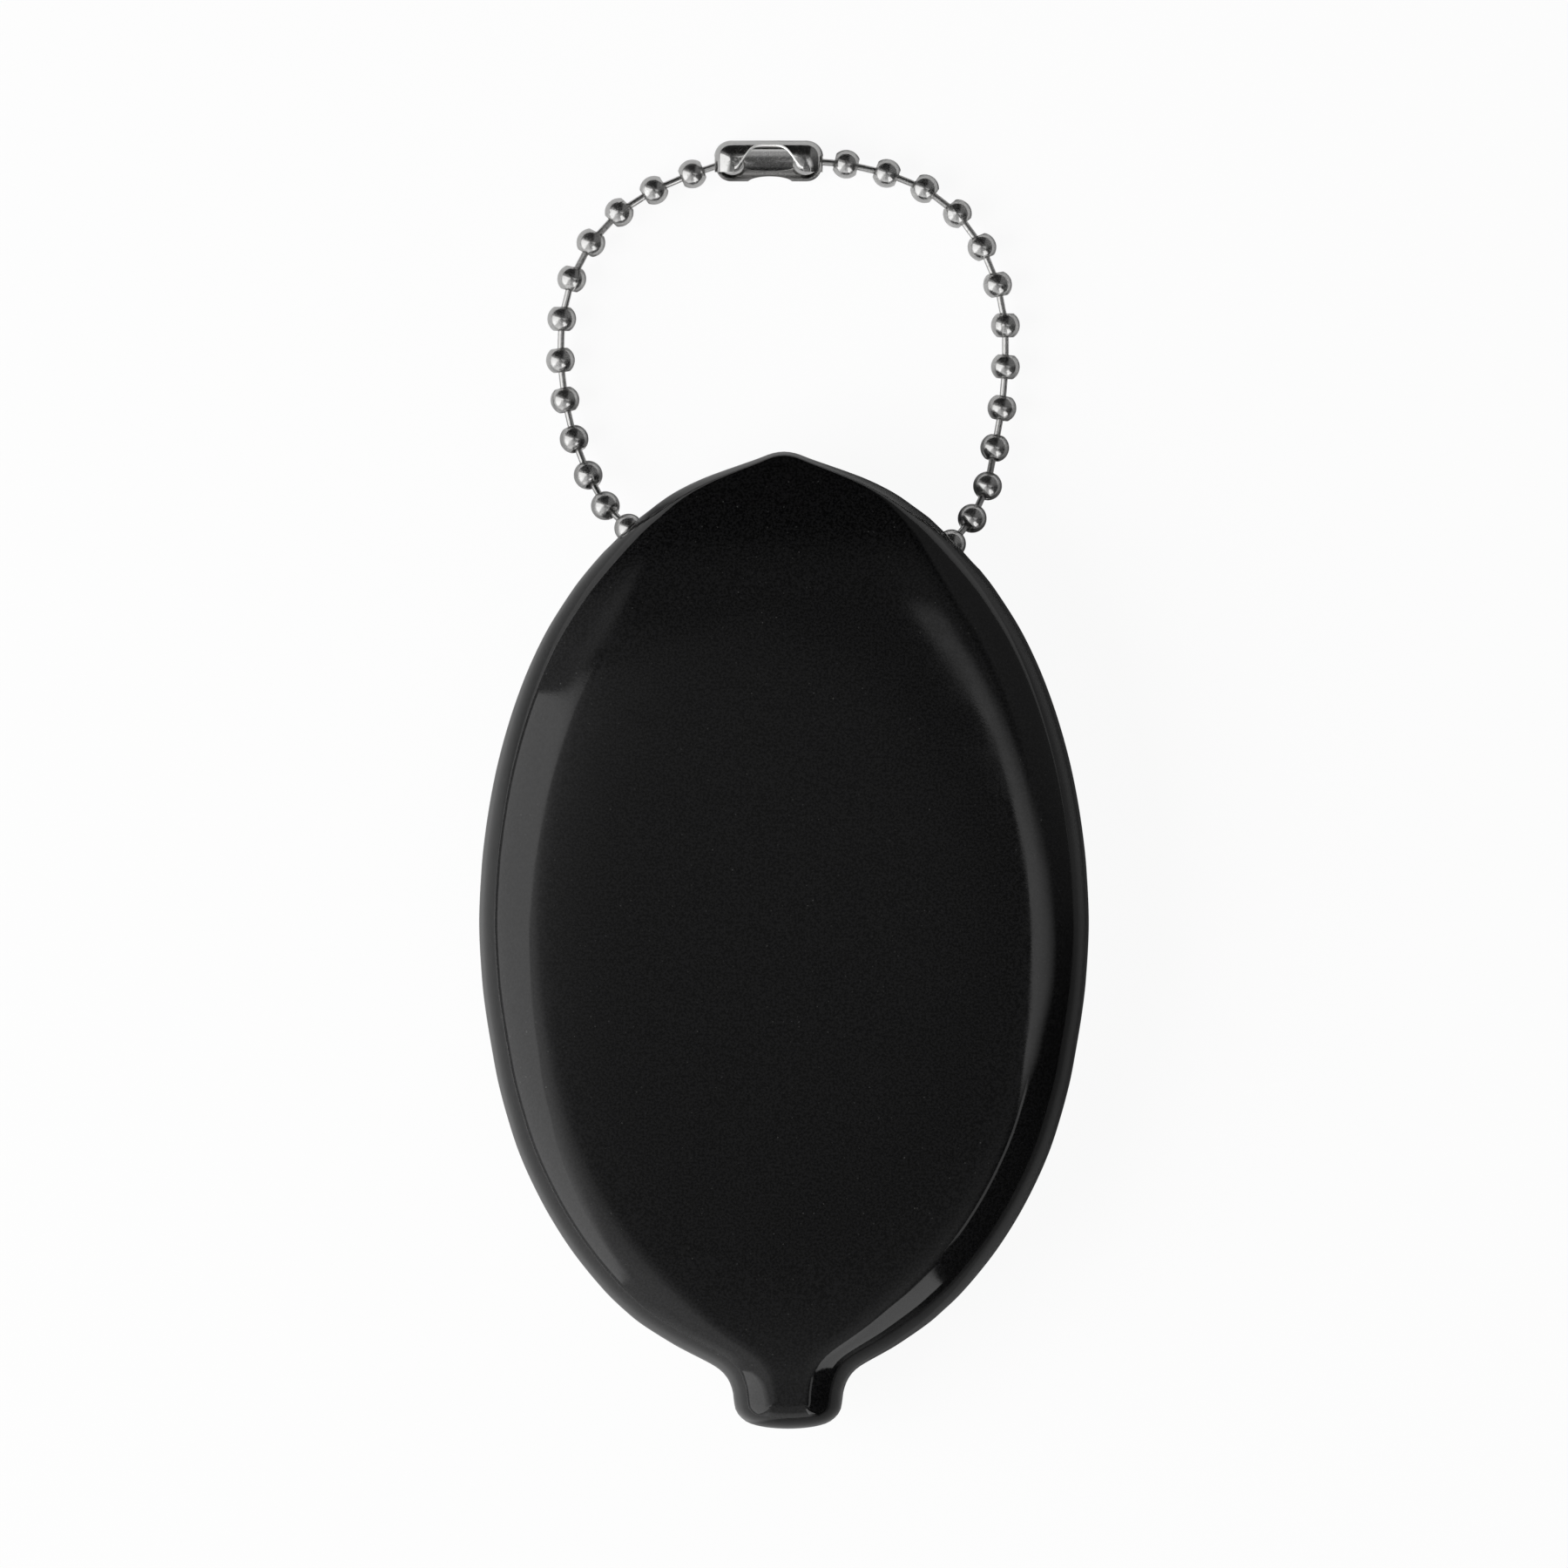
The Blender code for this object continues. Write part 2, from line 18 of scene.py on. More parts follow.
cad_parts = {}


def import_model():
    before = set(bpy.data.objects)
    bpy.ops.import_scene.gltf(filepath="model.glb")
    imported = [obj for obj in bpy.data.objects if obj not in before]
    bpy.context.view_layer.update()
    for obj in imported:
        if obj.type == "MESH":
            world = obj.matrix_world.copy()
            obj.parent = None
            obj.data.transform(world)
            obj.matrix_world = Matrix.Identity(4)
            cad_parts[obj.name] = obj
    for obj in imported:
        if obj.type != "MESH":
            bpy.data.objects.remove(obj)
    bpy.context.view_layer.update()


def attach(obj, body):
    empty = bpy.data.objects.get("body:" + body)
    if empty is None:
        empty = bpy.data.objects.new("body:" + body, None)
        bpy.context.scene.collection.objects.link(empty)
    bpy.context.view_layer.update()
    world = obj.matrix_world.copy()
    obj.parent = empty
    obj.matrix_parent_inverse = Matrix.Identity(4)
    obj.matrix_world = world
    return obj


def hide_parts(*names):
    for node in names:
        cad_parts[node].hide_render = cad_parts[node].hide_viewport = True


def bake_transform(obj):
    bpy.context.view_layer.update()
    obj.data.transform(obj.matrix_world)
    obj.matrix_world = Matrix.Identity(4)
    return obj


LOG = logging.getLogger("coin_pouch")
Obj = bpy.types.Object
Finish = bpy.types.Material

POUCH_WIDTH = 0.0505
POUCH_LENGTH = 0.0809
ACROSS_PIXEL = POUCH_WIDTH / 699
ALONG_PIXEL = POUCH_LENGTH / 1118.5
PICTURE_PIXELS = 1800
CENTRE = PICTURE_PIXELS // 2
TINY = 1e-6

OUTLINE_PIXELS = (
    (0, 519.5), (14, 521.5), (30, 527.5), (50, 534.5), (70, 541.5), (90, 549), (110, 558),
    (130, 569), (150, 583), (170, 598), (191, 617.5), (212, 640), (229, 660), (244, 680),
    (269.5, 720), (289.5, 760), (305.5, 800), (318.5, 840), (329, 880), (337, 920), (343, 960),
    (347, 1000), (349.5, 1060), (346.5, 1120), (342, 1160), (335.5, 1200), (328, 1240),
    (317.5, 1280), (304.5, 1320), (287, 1360), (265.5, 1400), (239, 1440), (206, 1480),
    (180, 1505), (161.5, 1520), (131, 1540), (113.5, 1550), (94.5, 1560), (81, 1568),
    (72.5, 1576), (67, 1585), (63.5, 1596), (62, 1608), (59.5, 1618), (52.5, 1626.5),
    (42, 1632.5), (24, 1636.5), (0, 1638),
)
HOLLOW_PIXELS = OUTLINE_PIXELS[:37:2] + ((60, 1569), (0, 1578))
LEFT_BEAD_PIXELS = (
    (722, 607), (695, 581), (675, 545.5), (658.7, 504), (648.2, 459), (643, 413.5), (644.5, 366),
    (656, 320), (678, 278.5), (710.5, 243.7), (750.5, 218.2), (794.5, 199.5),
)
RIGHT_BEAD_PIXELS = (
    (1092, 625), (1116, 595.5), (1133.8, 558), (1142.2, 514), (1150.5, 468.4), (1154.5, 421),
    (1154.5, 373.4), (1145.5, 326.7), (1127.5, 283.5), (1099.3, 245.2), (1061.7, 216.5),
    (1018, 198.9), (971.5, 188.4),
)


def on_plan(column: float, row: float, height: float = 0.0) -> Vector:
    """The place of a point of the picture, at a height over the table."""
    return Vector(((column - CENTRE) * ACROSS_PIXEL, (CENTRE - row) * ALONG_PIXEL, height))


def soft_step(value: np.ndarray, start: float, end: float) -> np.ndarray:
    """Rises smoothly from 0 at start to 1 at end."""
    share = np.clip((np.asarray(value, float) - start) / (end - start), 0, 1)
    return share * share * (3 - 2 * share)


def facing(direction: Vector, place: Vector) -> Matrix:
    """The transform that lays a piece's own Z along a direction, at a place."""
    turn = Vector((0, 0, 1)).rotation_difference(direction)
    return Matrix.Translation(place) @ turn.to_matrix().to_4x4()


class Bench:
    """The modelling bench: small helpers round Blender's own operators."""

    @staticmethod
    def clear_selection() -> None:
        """Leaves no object selected, so that an operator acts on the new piece alone."""
        if bpy.context.object and bpy.context.object.mode != "OBJECT":
            bpy.ops.object.mode_set(mode="OBJECT")
        bpy.ops.object.select_all(action="DESELECT")

    @staticmethod
    def take(obj: Obj) -> None:
        """Selects one object alone and makes it active."""
        Bench.clear_selection()
        obj.select_set(True)
        bpy.context.view_layer.objects.active = obj

    @staticmethod
    def new(operator: Callable, name: str, **settings: object) -> Obj:
        """Makes an object with one of Blender's operators.

        Args:
            operator: the operator.
            name: the object's name.
            settings: what the operator is given.

        Returns:
            The object.
        """
        Bench.clear_selection()
        operator(**settings)
        made = bpy.context.object
        made.name = name
        return made

    @staticmethod
    def block(name: str, size: tuple, centre: Vector, rounding: float = 0.0,
              segments: int = 8) -> Obj:
        """A block with rounded edges.

        Args:
            name: its name.
            size: its length, width and height.
            centre: its middle.
            rounding: the radius of its edges.
            segments: the steps of that radius.

        Returns:
            The block.
        """
        made = Bench.new(bpy.ops.mesh.primitive_cube_add, name, size=1.0, location=centre)
        made.scale = size
        bpy.ops.object.transform_apply(location=True, rotation=False, scale=True)
        if rounding:
            Bench.round_off(made, rounding, segments)
        return made

    @staticmethod
    def round_off(obj: Obj, radius: float, segments: int) -> None:
        """Rounds every edge of an object."""
        with Bench.editing(obj, "EDGE", "SELECT"):
            bpy.ops.mesh.bevel(offset=radius, segments=segments, affect="EDGES")

    @staticmethod
    @contextmanager
    def editing(obj: Obj, element: str = "VERT", action: str = "DESELECT") -> Iterator[None]:
        """Opens an object in edit mode and closes it again.

        Args:
            obj: the object to edit.
            element: VERT, EDGE or FACE.
            action: SELECT to start with all of it selected, DESELECT with nothing.

        Yields:
            Nothing.
        """
        Bench.take(obj)
        bpy.ops.object.mode_set(mode="EDIT")
        bpy.ops.mesh.select_mode(type=element)
        bpy.ops.mesh.select_all(action=action)
        yield
        bpy.ops.object.mode_set(mode="OBJECT")

    @staticmethod
    def pick(test: Callable, element: str = "verts") -> None:
        """Selects what passes a test in the object being edited.

        Args:
            test: a function of one vertex, edge or face.
            element: verts, edges or faces.
        """
        mesh = bpy.context.edit_object.data
        bm = bmesh.from_edit_mesh(mesh)
        for item in getattr(bm, element):
            if test(item):
                item.select_set(True)
        bm.select_flush_mode()
        bmesh.update_edit_mesh(mesh)

    @staticmethod
    def slice(obj: Obj, point: tuple, normal: tuple) -> None:
        """Adds one line of edges where a plane meets an object."""
        with Bench.editing(obj, action="SELECT"):
            bpy.ops.mesh.bisect(plane_co=point, plane_no=normal, xstart=0, xend=1, ystart=0,
                                yend=1)

    @staticmethod
    def finish_modifier(obj: Obj, kind: str, **settings: object) -> None:
        """Adds one modifier and applies it.

        Args:
            obj: the object to finish.
            kind: the modifier's type.
            settings: the modifier's own settings.
        """
        Bench.take(obj)
        added = obj.modifiers.new(kind.lower(), kind)
        for name, value in settings.items():
            setattr(added, name, value)
        bpy.ops.object.modifier_apply(modifier=added.name)

    @staticmethod
    def combine(obj: Obj, other: Obj, operation: str = "DIFFERENCE") -> None:
        """Cuts an object with another, or joins the two, and deletes the other."""
        Bench.finish_modifier(obj, "BOOLEAN", operation=operation, solver="EXACT", object=other)
        bpy.data.objects.remove(other, do_unlink=True)

    @staticmethod
    def join(parts: list[Obj]) -> Obj:
        """Joins objects into the last of them."""
        Bench.take(parts[-1])
        for part in parts:
            part.select_set(True)
        bpy.ops.object.join()
        return bpy.context.object

    @staticmethod
    def outward(obj: Obj, weld: float = 1e-7) -> None:
        """Merges doubled points and turns every face outwards."""
        with Bench.editing(obj, action="SELECT"):
            bpy.ops.mesh.remove_doubles(threshold=weld)
            bpy.ops.mesh.normals_make_consistent(inside=False)

    @staticmethod
    def smooth(obj: Obj, degrees: float) -> None:
        """Shades a piece smooth, with edges above an angle kept sharp."""
        Bench.take(obj)
        bpy.ops.object.shade_smooth_by_angle(angle=math.radians(degrees))

    @staticmethod
    def copy(obj: Obj, name: str, place: Matrix) -> Obj:
        """Copies a modelled piece with its own mesh.

        Args:
            obj: the piece to copy.
            name: the copy's name.
            place: where the copy goes.

        Returns:
            The copy, with its place in its mesh.
        """
        made = obj.copy()
        made.data = obj.data.copy()
        made.name = made.data.name = name
        bpy.context.scene.collection.objects.link(made)
        made.data.transform(place)
        made.data.update()
        return made

    @staticmethod
    def hang(made: Obj, node: str, body: str, finish: str) -> None:
        """Puts a piece in a node's stead on its body.

        Args:
            made: the piece.
            node: the node it stands for.
            body: the body it rides on.
            finish: not used.
        """
        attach(made, body)
        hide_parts(node)
        LOG.info("%s: %d faces on %s", made.name, len(made.data.polygons), body)


class Value:
    """One output of a node. It adds and multiplies like a number, each sum by its own node."""

    def __init__(self, wires: "Wires", node: bpy.types.Node, output: int | str = 0) -> None:
        """Takes the node and which of its outputs this is."""
        self.wires, self.node, self.output = wires, node, output

    def out(self, output: int | str) -> "Value":
        """Another output of the same node."""
        return Value(self.wires, self.node, output)

    def sum(self, operation: str, other: object = 0.0) -> "Value":
        """The result of one sum with another value."""
        return self.wires.add("Math", {0: self, 1: other}, operation=operation)

    def __add__(self, other: object) -> "Value":
        """This value and another."""
        return self.sum("ADD", other)

    def __sub__(self, other: object) -> "Value":
        """This value less another."""
        return self.sum("SUBTRACT", other)

    def __mul__(self, other: object) -> "Value":
        """This value times another."""
        return self.sum("MULTIPLY", other)

    def __truediv__(self, other: object) -> "Value":
        """This value by another."""
        return self.sum("DIVIDE", other)

    def __abs__(self) -> "Value":
        """This value without its sign."""
        return self.sum("ABSOLUTE")

    def most(self, other: object) -> "Value":
        """The larger of two values."""
        return self.sum("MAXIMUM", other)

    def clamped(self) -> "Value":
        """This sum, kept between 0 and 1."""
        self.node.use_clamp = True
        return self

    def grade(self, low: float, high: float, start: float = 0.0, end: float = 1.0) -> "Value":
        """Maps low to high smoothly onto start to end."""
        return self.wires.add("MapRange", {"Value": self, "From Min": low, "From Max": high,
                                           "To Min": start, "To Max": end},
                              interpolation_type="SMOOTHSTEP")


class Wires:
    """Adds and joins the nodes of one material, world or group."""

    def __init__(self, tree: bpy.types.NodeTree) -> None:
        """Takes the node tree to work in."""
        self.tree = tree

    @classmethod
    def inside(cls, owner: bpy.types.ID, empty: bool = False) -> "Wires":
        """Opens the nodes of a material or a world.

        Args:
            owner: the material or world.
            empty: whether its starting nodes go.

        Returns:
            Its wires.
        """
        owner.use_nodes = True
        if empty:
            owner.node_tree.nodes.clear()
        return cls(owner.node_tree)

    def join(self, node: bpy.types.Node, inputs: dict) -> None:
        """Sets a node's inputs, by name or number, to plain values or other nodes' outputs."""
        for name, value in inputs.items():
            if isinstance(value, Value):
                self.tree.links.new(value.node.outputs[value.output], node.inputs[name])
            else:
                node.inputs[name].default_value = value

    def add(self, kind: str, inputs: dict | None = None, **settings: object) -> Value:
        """Adds a node.

        Args:
            kind: the node's type without its leading ShaderNode.
            inputs: what its inputs are set to.
            settings: the node's own settings.

        Returns:
            Its first output.
        """
        node = self.tree.nodes.new(kind if kind.startswith("NodeGroup") else "ShaderNode" + kind)
        for name, value in settings.items():
            setattr(node, name, value)
        self.join(node, inputs or {})
        return Value(self, node)

    def mix(self, factor: Value, first: object, second: object) -> Value:
        """Mixes two colours."""
        return self.add("Mix", {0: factor, 6: first, 7: second}, data_type="RGBA").out(2)


class Effect(Enum):
    """The surface effects that several finishes share."""

    DUST = "fine dust"
    GRAIN = "fine grain"
    SCUFFS = "hairline scuffs"
    # Edge lightening: partly rubbed wear, partly a painted highlight.
    WEAR = "edge rubbing and painted highlight"


class Effects:
    """Builds each shared effect once, as a node group."""

    def __init__(self) -> None:
        """Starts with no group built."""
        self.built: dict[Effect, bpy.types.NodeTree] = {}

    def add(self, wires: Wires, effect: Effect, place: Value, **inputs: float) -> Value:
        """Adds an effect's group to a material, and builds it when it is first asked for.

        Args:
            wires: the material's nodes.
            effect: the effect.
            place: the coordinates it follows.
            inputs: its other inputs.

        Returns:
            The group's first output.
        """
        makers = {Effect.DUST: self.dust, Effect.GRAIN: self.grain,
                  Effect.SCUFFS: self.scuffs, Effect.WEAR: self.wear_and_highlight}
        if effect not in self.built:
            makers[effect]()
        return wires.add("Group", {"Vector": place, **inputs}, node_tree=self.built[effect])

    def blank(self, effect: Effect, **inputs: float) -> tuple[Wires, Value]:
        """Starts a group with its inputs.

        Args:
            effect: the effect that the group is for.
            inputs: each number it takes, with its starting value.

        Returns:
            The group's wires and its input node.
        """
        tree = bpy.data.node_groups.new(effect.value, "ShaderNodeTree")
        tree.interface.new_socket(name="Vector", in_out="INPUT", socket_type="NodeSocketVector")
        for name, value in inputs.items():
            tree.interface.new_socket(name=name, in_out="INPUT",
                                      socket_type="NodeSocketFloat").default_value = value
        self.built[effect] = tree
        wires = Wires(tree)
        return wires, wires.add("NodeGroupInput")

    @staticmethod
    def close(wires: Wires, **outputs: Value) -> None:
        """Gives a group its outputs."""
        for name in outputs:
            wires.tree.interface.new_socket(name=name, in_out="OUTPUT",
                                            socket_type="NodeSocketFloat")
        wires.join(wires.add("NodeGroupOutput").node, outputs)

    def dust(self) -> None:
        """Specks of dust that gather in faint patches."""
        wires, given = self.blank(Effect.DUST, Scale=2600.0, Amount=0.5)
        place = given.out("Vector")
        cells = wires.add("TexVoronoi", {"Vector": place, "Scale": given.out("Scale")},
                          feature="F1")
        clouds = wires.add("TexNoise", {"Vector": place, "Scale": 160.0, "Detail": 3.0})
        mask = cells.grade(0.10, 0.20, 1.0, 0.0) * cells.out("Color").grade(0.62, 0.95)
        mask = mask * clouds.grade(0.38, 0.68, 0.25, 1.0) * given.out("Amount")
        self.close(wires, Mask=mask.clamped())

    def grain(self) -> None:
        """Close grain over a slow cloudiness, for a moulded or plated skin."""
        wires, given = self.blank(Effect.GRAIN, Scale=9000.0)
        place = given.out("Vector")
        fine = wires.add("TexNoise", {"Vector": place, "Scale": given.out("Scale"),
                                      "Detail": 4.0, "Roughness": 0.6})
        slow = wires.add("TexNoise", {"Vector": place, "Scale": 240.0, "Detail": 4.0,
                                      "Roughness": 0.55})
        self.close(wires, Value=fine, Cloud=slow)

    def scuffs(self) -> None:
        """Hairline scuffs that run mostly one way."""
        wires, given = self.blank(Effect.SCUFFS, Scale=900.0, Turn=0.3)
        turned = wires.add("VectorRotate", {"Vector": given.out("Vector"),
                                            "Angle": given.out("Turn")}, rotation_type="Z_AXIS")
        long = wires.add("Mapping", {"Vector": turned, "Scale": (0.06, 1.0, 0.5)})
        lines = wires.add("TexNoise", {"Vector": long, "Scale": given.out("Scale"),
                                       "Detail": 6.0, "Roughness": 0.72})
        self.close(wires, Mask=lines.grade(0.60, 0.74))

    def wear_and_highlight(self) -> None:
        """Rubbed edges, lightened partly as wear and partly as a painted highlight along sharp
        edges, broken up so that no two look alike.
        """
        wires, given = self.blank(Effect.WEAR, Scale=2200.0, Amount=0.6)
        edge = wires.add("NewGeometry").out("Pointiness").grade(0.53, 0.62)
        rub = wires.add("TexNoise", {"Vector": given.out("Vector"), "Scale": given.out("Scale"),
                                     "Detail": 5.0})
        self.close(wires, Mask=(edge * rub.grade(0.40, 0.62) * given.out("Amount")).clamped())


@dataclass(frozen=True)
class VinylFinish:
    """Soft black vinyl with a wet gloss, fine grain and a little dust."""

    name: str = "pouch vinyl, glossy black"
    deep: tuple = (0.0008, 0.0008, 0.00085, 1.0)
    bloom: tuple = (0.0050, 0.0050, 0.0052, 1.0)
    dust: tuple = (0.10, 0.10, 0.098, 1.0)
    dust_amount: float = 0.34
    grain_scale: float = 5200.0
    scuff_turn: float = 0.35
    gloss: float = 0.03
    dull: float = 0.08
    index: float = 1.53

    def build(self, effects: Effects) -> Finish:
        """Makes the material.

        Args:
            effects: the shared node groups.

        Returns:
            The material.
        """
        made = bpy.data.materials.new(self.name)
        wires = Wires.inside(made)
        place = wires.add("TexCoord").out("Object")
        grain = effects.add(wires, Effect.GRAIN, place, Scale=self.grain_scale)
        scuffs = effects.add(wires, Effect.SCUFFS, place, Scale=1500.0, Turn=self.scuff_turn)
        dust = effects.add(wires, Effect.DUST, place, Scale=2400.0, Amount=self.dust_amount)
        colour = wires.mix(grain.grade(0.38, 0.62), self.deep, self.bloom)
        rough = grain.out("Cloud").grade(0.30, 0.72, self.gloss, self.dull)
        rough = (rough + scuffs * 0.05 + dust * 0.5).clamped()
        height = grain * 0.5 + scuffs * -0.3 + dust
        bump = wires.add("Bump", {"Strength": 0.10, "Distance": 0.000012, "Height": height})
        wires.join(made.node_tree.nodes["Principled BSDF"], {
            "Base Color": wires.mix(dust, colour, self.dust), "Roughness": rough,
            "Normal": bump, "IOR": self.index})
        made.diffuse_color = self.deep
        return made


@dataclass(frozen=True)
class NickelFinish:
    """Bright nickel plate with hairline scuffs, edges lightened partly as rubbed wear and partly
    as a painted highlight, and a little tarnish.
    """

    name: str
    bright: tuple = (0.58, 0.577, 0.57, 1.0)
    tarnish: tuple = (0.34, 0.335, 0.325, 1.0)
    # Lighter colour of sharp edges: partly rubbed wear, partly a painted highlight.
    worn_and_highlight: tuple = (0.86, 0.855, 0.84, 1.0)
    polish: float = 0.06
    dull: float = 0.22
    haze: float = 0.30
    haze_level: float = 0.47
    haze_scale: float = 26000.0
    grain_scale: float = 5200.0
    wear_and_highlight: float = 0.55
    scuff_turn: float = 0.9
    metal: float = 1.0

    def build(self, effects: Effects) -> Finish:
        """Makes the material.

        Args:
            effects: the shared node groups.

        Returns:
            The material.
        """
        made = bpy.data.materials.new(self.name)
        wires = Wires.inside(made)
        place = wires.add("TexCoord").out("Object")
        grain = effects.add(wires, Effect.GRAIN, place, Scale=self.grain_scale)
        scuffs = effects.add(wires, Effect.SCUFFS, place, Scale=4200.0, Turn=self.scuff_turn)
        wear_and_highlight = effects.add(wires, Effect.WEAR, place, Scale=5200.0, Amount=self.wear_and_highlight)
        hair = effects.add(wires, Effect.GRAIN, place, Scale=self.haze_scale).grade(
            self.haze_level - 0.03, self.haze_level + 0.03, self.haze, 0.0)
        colour = wires.mix(grain.grade(0.56, 0.78, 0.0, 0.7), self.bright, self.tarnish)
        rough = grain.grade(0.35, 0.75, self.polish, self.dull) + hair
        rough = (rough + scuffs * 0.10 + wear_and_highlight * 0.06).clamped()
        height = grain * 0.6 + scuffs * -0.4
        bump = wires.add("Bump", {"Strength": 0.22, "Distance": 0.000012, "Height": height})
        # Sharp edges are lightened towards that colour: partly wear, partly a painted highlight.
        wires.join(made.node_tree.nodes["Principled BSDF"], {
            "Base Color": wires.mix(wear_and_highlight, colour, self.worn_and_highlight), "Roughness": rough,
            "Normal": bump, "Metallic": self.metal})
        made.diffuse_color = self.bright
        return made


@dataclass
class Pouch:
    """The moulded pouch: an oval pillow with a nub, hollow, with a slit in its underside."""

    material: Finish
    thickness: float = 0.011
    face_reach: float = 0.0049
    crown: float = 0.0006
    crown_power: float = 7.0
    crown_half_width: float = 0.02525
    crown_half_length: float = 0.0385
    crown_centre_row: float = 1049.0
    wall: float = 0.0018
    rim_depth: float = 0.0050
    rim_power: float = 2.5
    nub_end_depth: float = 0.0020
    tip_rim_depth: float = 0.0005
    tip_drop: float = 0.0022
    tip_drop_power: float = 2.6
    tip_drop_rows: tuple = (520.0, 715.0)
    tip_rows: tuple = (520.0, 690.0)
    nub_thickness: float = 0.0074
    nub_slope: float = 0.095
    nub_lean: float = 0.00034
    nub_rows: tuple = (1500.0, 1590.0)
    nub_slope_rows: tuple = (1574.0, 1590.0)
    slit_length: float = 0.050
    lip_width: float = 0.010
    slit_row: float = 1075.0
    slit_gap: float = 0.00008
    slit_rounding: float = 0.00022
    crease_share: float = 0.35
    lip_steps: tuple = (16, 36)
    hole_size: tuple = (0.0040, 0.0030)
    hole_rounding: float = 0.0009
    hole_margin: float = 0.001
    half_count: int = 230
    rim_count: int = 17
    inner_rim_count: int = 7
    face_count: int = 26
    inner_face_count: int = 8
    floor_count: int = 9
    inner_floor_count: int = 4
    curve_steps: int = 24
    rim_spread: int = 9
    inner_spread: int = 11
    nub_spread: int = 2
    row_gap: float = 0.000004

    @property
    def middle(self) -> float:
        """The height of the rim's widest line."""
        return self.thickness / 2

    @property
    def slit_middle(self) -> float:
        """The slit's middle along the pouch."""
        return on_plan(CENTRE, self.slit_row).y

    def outline(self, pixels: tuple) -> np.ndarray:
        """Runs a smooth curve through measured points and spaces it evenly.

        Args:
            pixels: half widths and rows, from the tip down.

        Returns:
            The right half as rows of x and y, the tip first.
        """
        right = np.array([on_plan(CENTRE + half, row)[:2] for half, row in pixels])
        mirrored = right * (-1, 1)
        loop = np.vstack((mirrored[2:0:-1], right, mirrored[-2:-4:-1]))
        curve = []
        for k in range(2, len(loop) - 3):
            a, b, c, d = loop[k - 1:k + 3]
            for t in np.linspace(0, 1, self.curve_steps, endpoint=False):
                curve.append(0.5 * (2 * b + (c - a) * t + (2 * a - 5 * b + 4 * c - d) * t ** 2
                                    + (3 * b - a - 3 * c + d) * t ** 3))
        curve = np.array(curve + [loop[-3]])
        steps = np.r_[0, np.cumsum(np.hypot(*np.diff(curve, axis=0).T))]
        spots = np.linspace(0, steps[-1], self.half_count + 1)
        even = np.column_stack([np.interp(spots, steps, curve[:, k]) for k in (0, 1)])
        even[0, 0] = even[-1, 0] = 0
        return even

    def inward(self, points: np.ndarray, depth: object, spread: int,
               end_depth: object = None) -> np.ndarray:
        """The way from each outline point to the end of its rim.

        Args:
            points: the half outline.
            depth: how far the rim reaches in, at each point or everywhere.
            spread: how many points each side share their way, which keeps rings apart.
            end_depth: how far it reaches in along the pouch, if that differs.

        Returns:
            The offsets of x and y.
        """
        before = np.vstack((points[1] * (-1, 1), points[:-1]))
        after = np.vstack((points[1:], points[-2] * (-1, 1)))
        along = after - before
        normal = np.column_stack((-along[:, 1], along[:, 0]))
        normal /= np.linalg.norm(normal, axis=1)[:, None]
        depths = np.empty((len(points), 2))
        depths[:, 0], depths[:, 1] = depth, depth if end_depth is None else end_depth
        way = -normal * depths
        full = np.vstack((way[:0:-1] * (-1, 1), way, way[-2::-1] * (-1, 1)))
        eased = []
        for reach in (spread, self.nub_spread):
            window = np.hanning(2 * reach + 3)[1:-1]
            window /= window.sum()
            made = np.column_stack([np.convolve(full[:, k], window, "same") for k in (0, 1)])
            eased.append(made[len(points) - 1:2 * len(points) - 1])
        way = eased[0] + (eased[1] - eased[0]) * self.nub_share(points[:, 1])[:, None]
        room = np.maximum(points[:, 0] * 0.96, 1e-9)
        way[:, 0] /= (1 + (way[:, 0] / room) ** 6) ** (1 / 6)
        target = points + way
        for i in range(1, len(target)):
            target[i, 1] = min(target[i, 1], target[i - 1, 1] - self.row_gap)
        return target - points

    def nub_share(self, y: np.ndarray) -> np.ndarray:
        """How far a place belongs to the nub, from 0 to 1."""
        return soft_step(CENTRE - np.asarray(y) / ALONG_PIXEL, *self.nub_rows)

    def tip_share(self, y: np.ndarray) -> np.ndarray:
        """How far a place belongs to the flat tip, from 0 to 1."""
        return 1 - soft_step(CENTRE - np.asarray(y) / ALONG_PIXEL, *self.tip_rows)

    def rise(self, x: np.ndarray, y: np.ndarray) -> np.ndarray:
        """The height of the face over the rim's middle.

        Args:
            x: places across.
            y: places along.

        Returns:
            Heights in metres.
        """
        centre = on_plan(CENTRE, self.crown_centre_row).y
        out = (x / self.crown_half_width) ** 2 + ((y - centre) / self.crown_half_length) ** 2
        dome = 1 - np.clip(out, 0, 1) ** (self.crown_power / 2)
        row = CENTRE - np.asarray(y) / ALONG_PIXEL
        start, end = self.tip_drop_rows
        fall = np.clip((end - row) / (end - start), 0, 1)
        start, end = self.nub_slope_rows
        run = np.maximum(row - start, 0) / (end - start)
        run = np.where(run < 1, run * run / 2, run - 0.5) * (end - start) * ALONG_PIXEL
        return (self.face_reach + self.crown * dome - self.tip_drop * fall ** self.tip_drop_power
                - self.nub_slope * run)

    def fall(self, y: np.ndarray) -> np.ndarray:
        """The depth of the underside under the rim's middle."""
        return self.middle + (self.nub_thickness / 2 - self.middle) * self.nub_share(y)

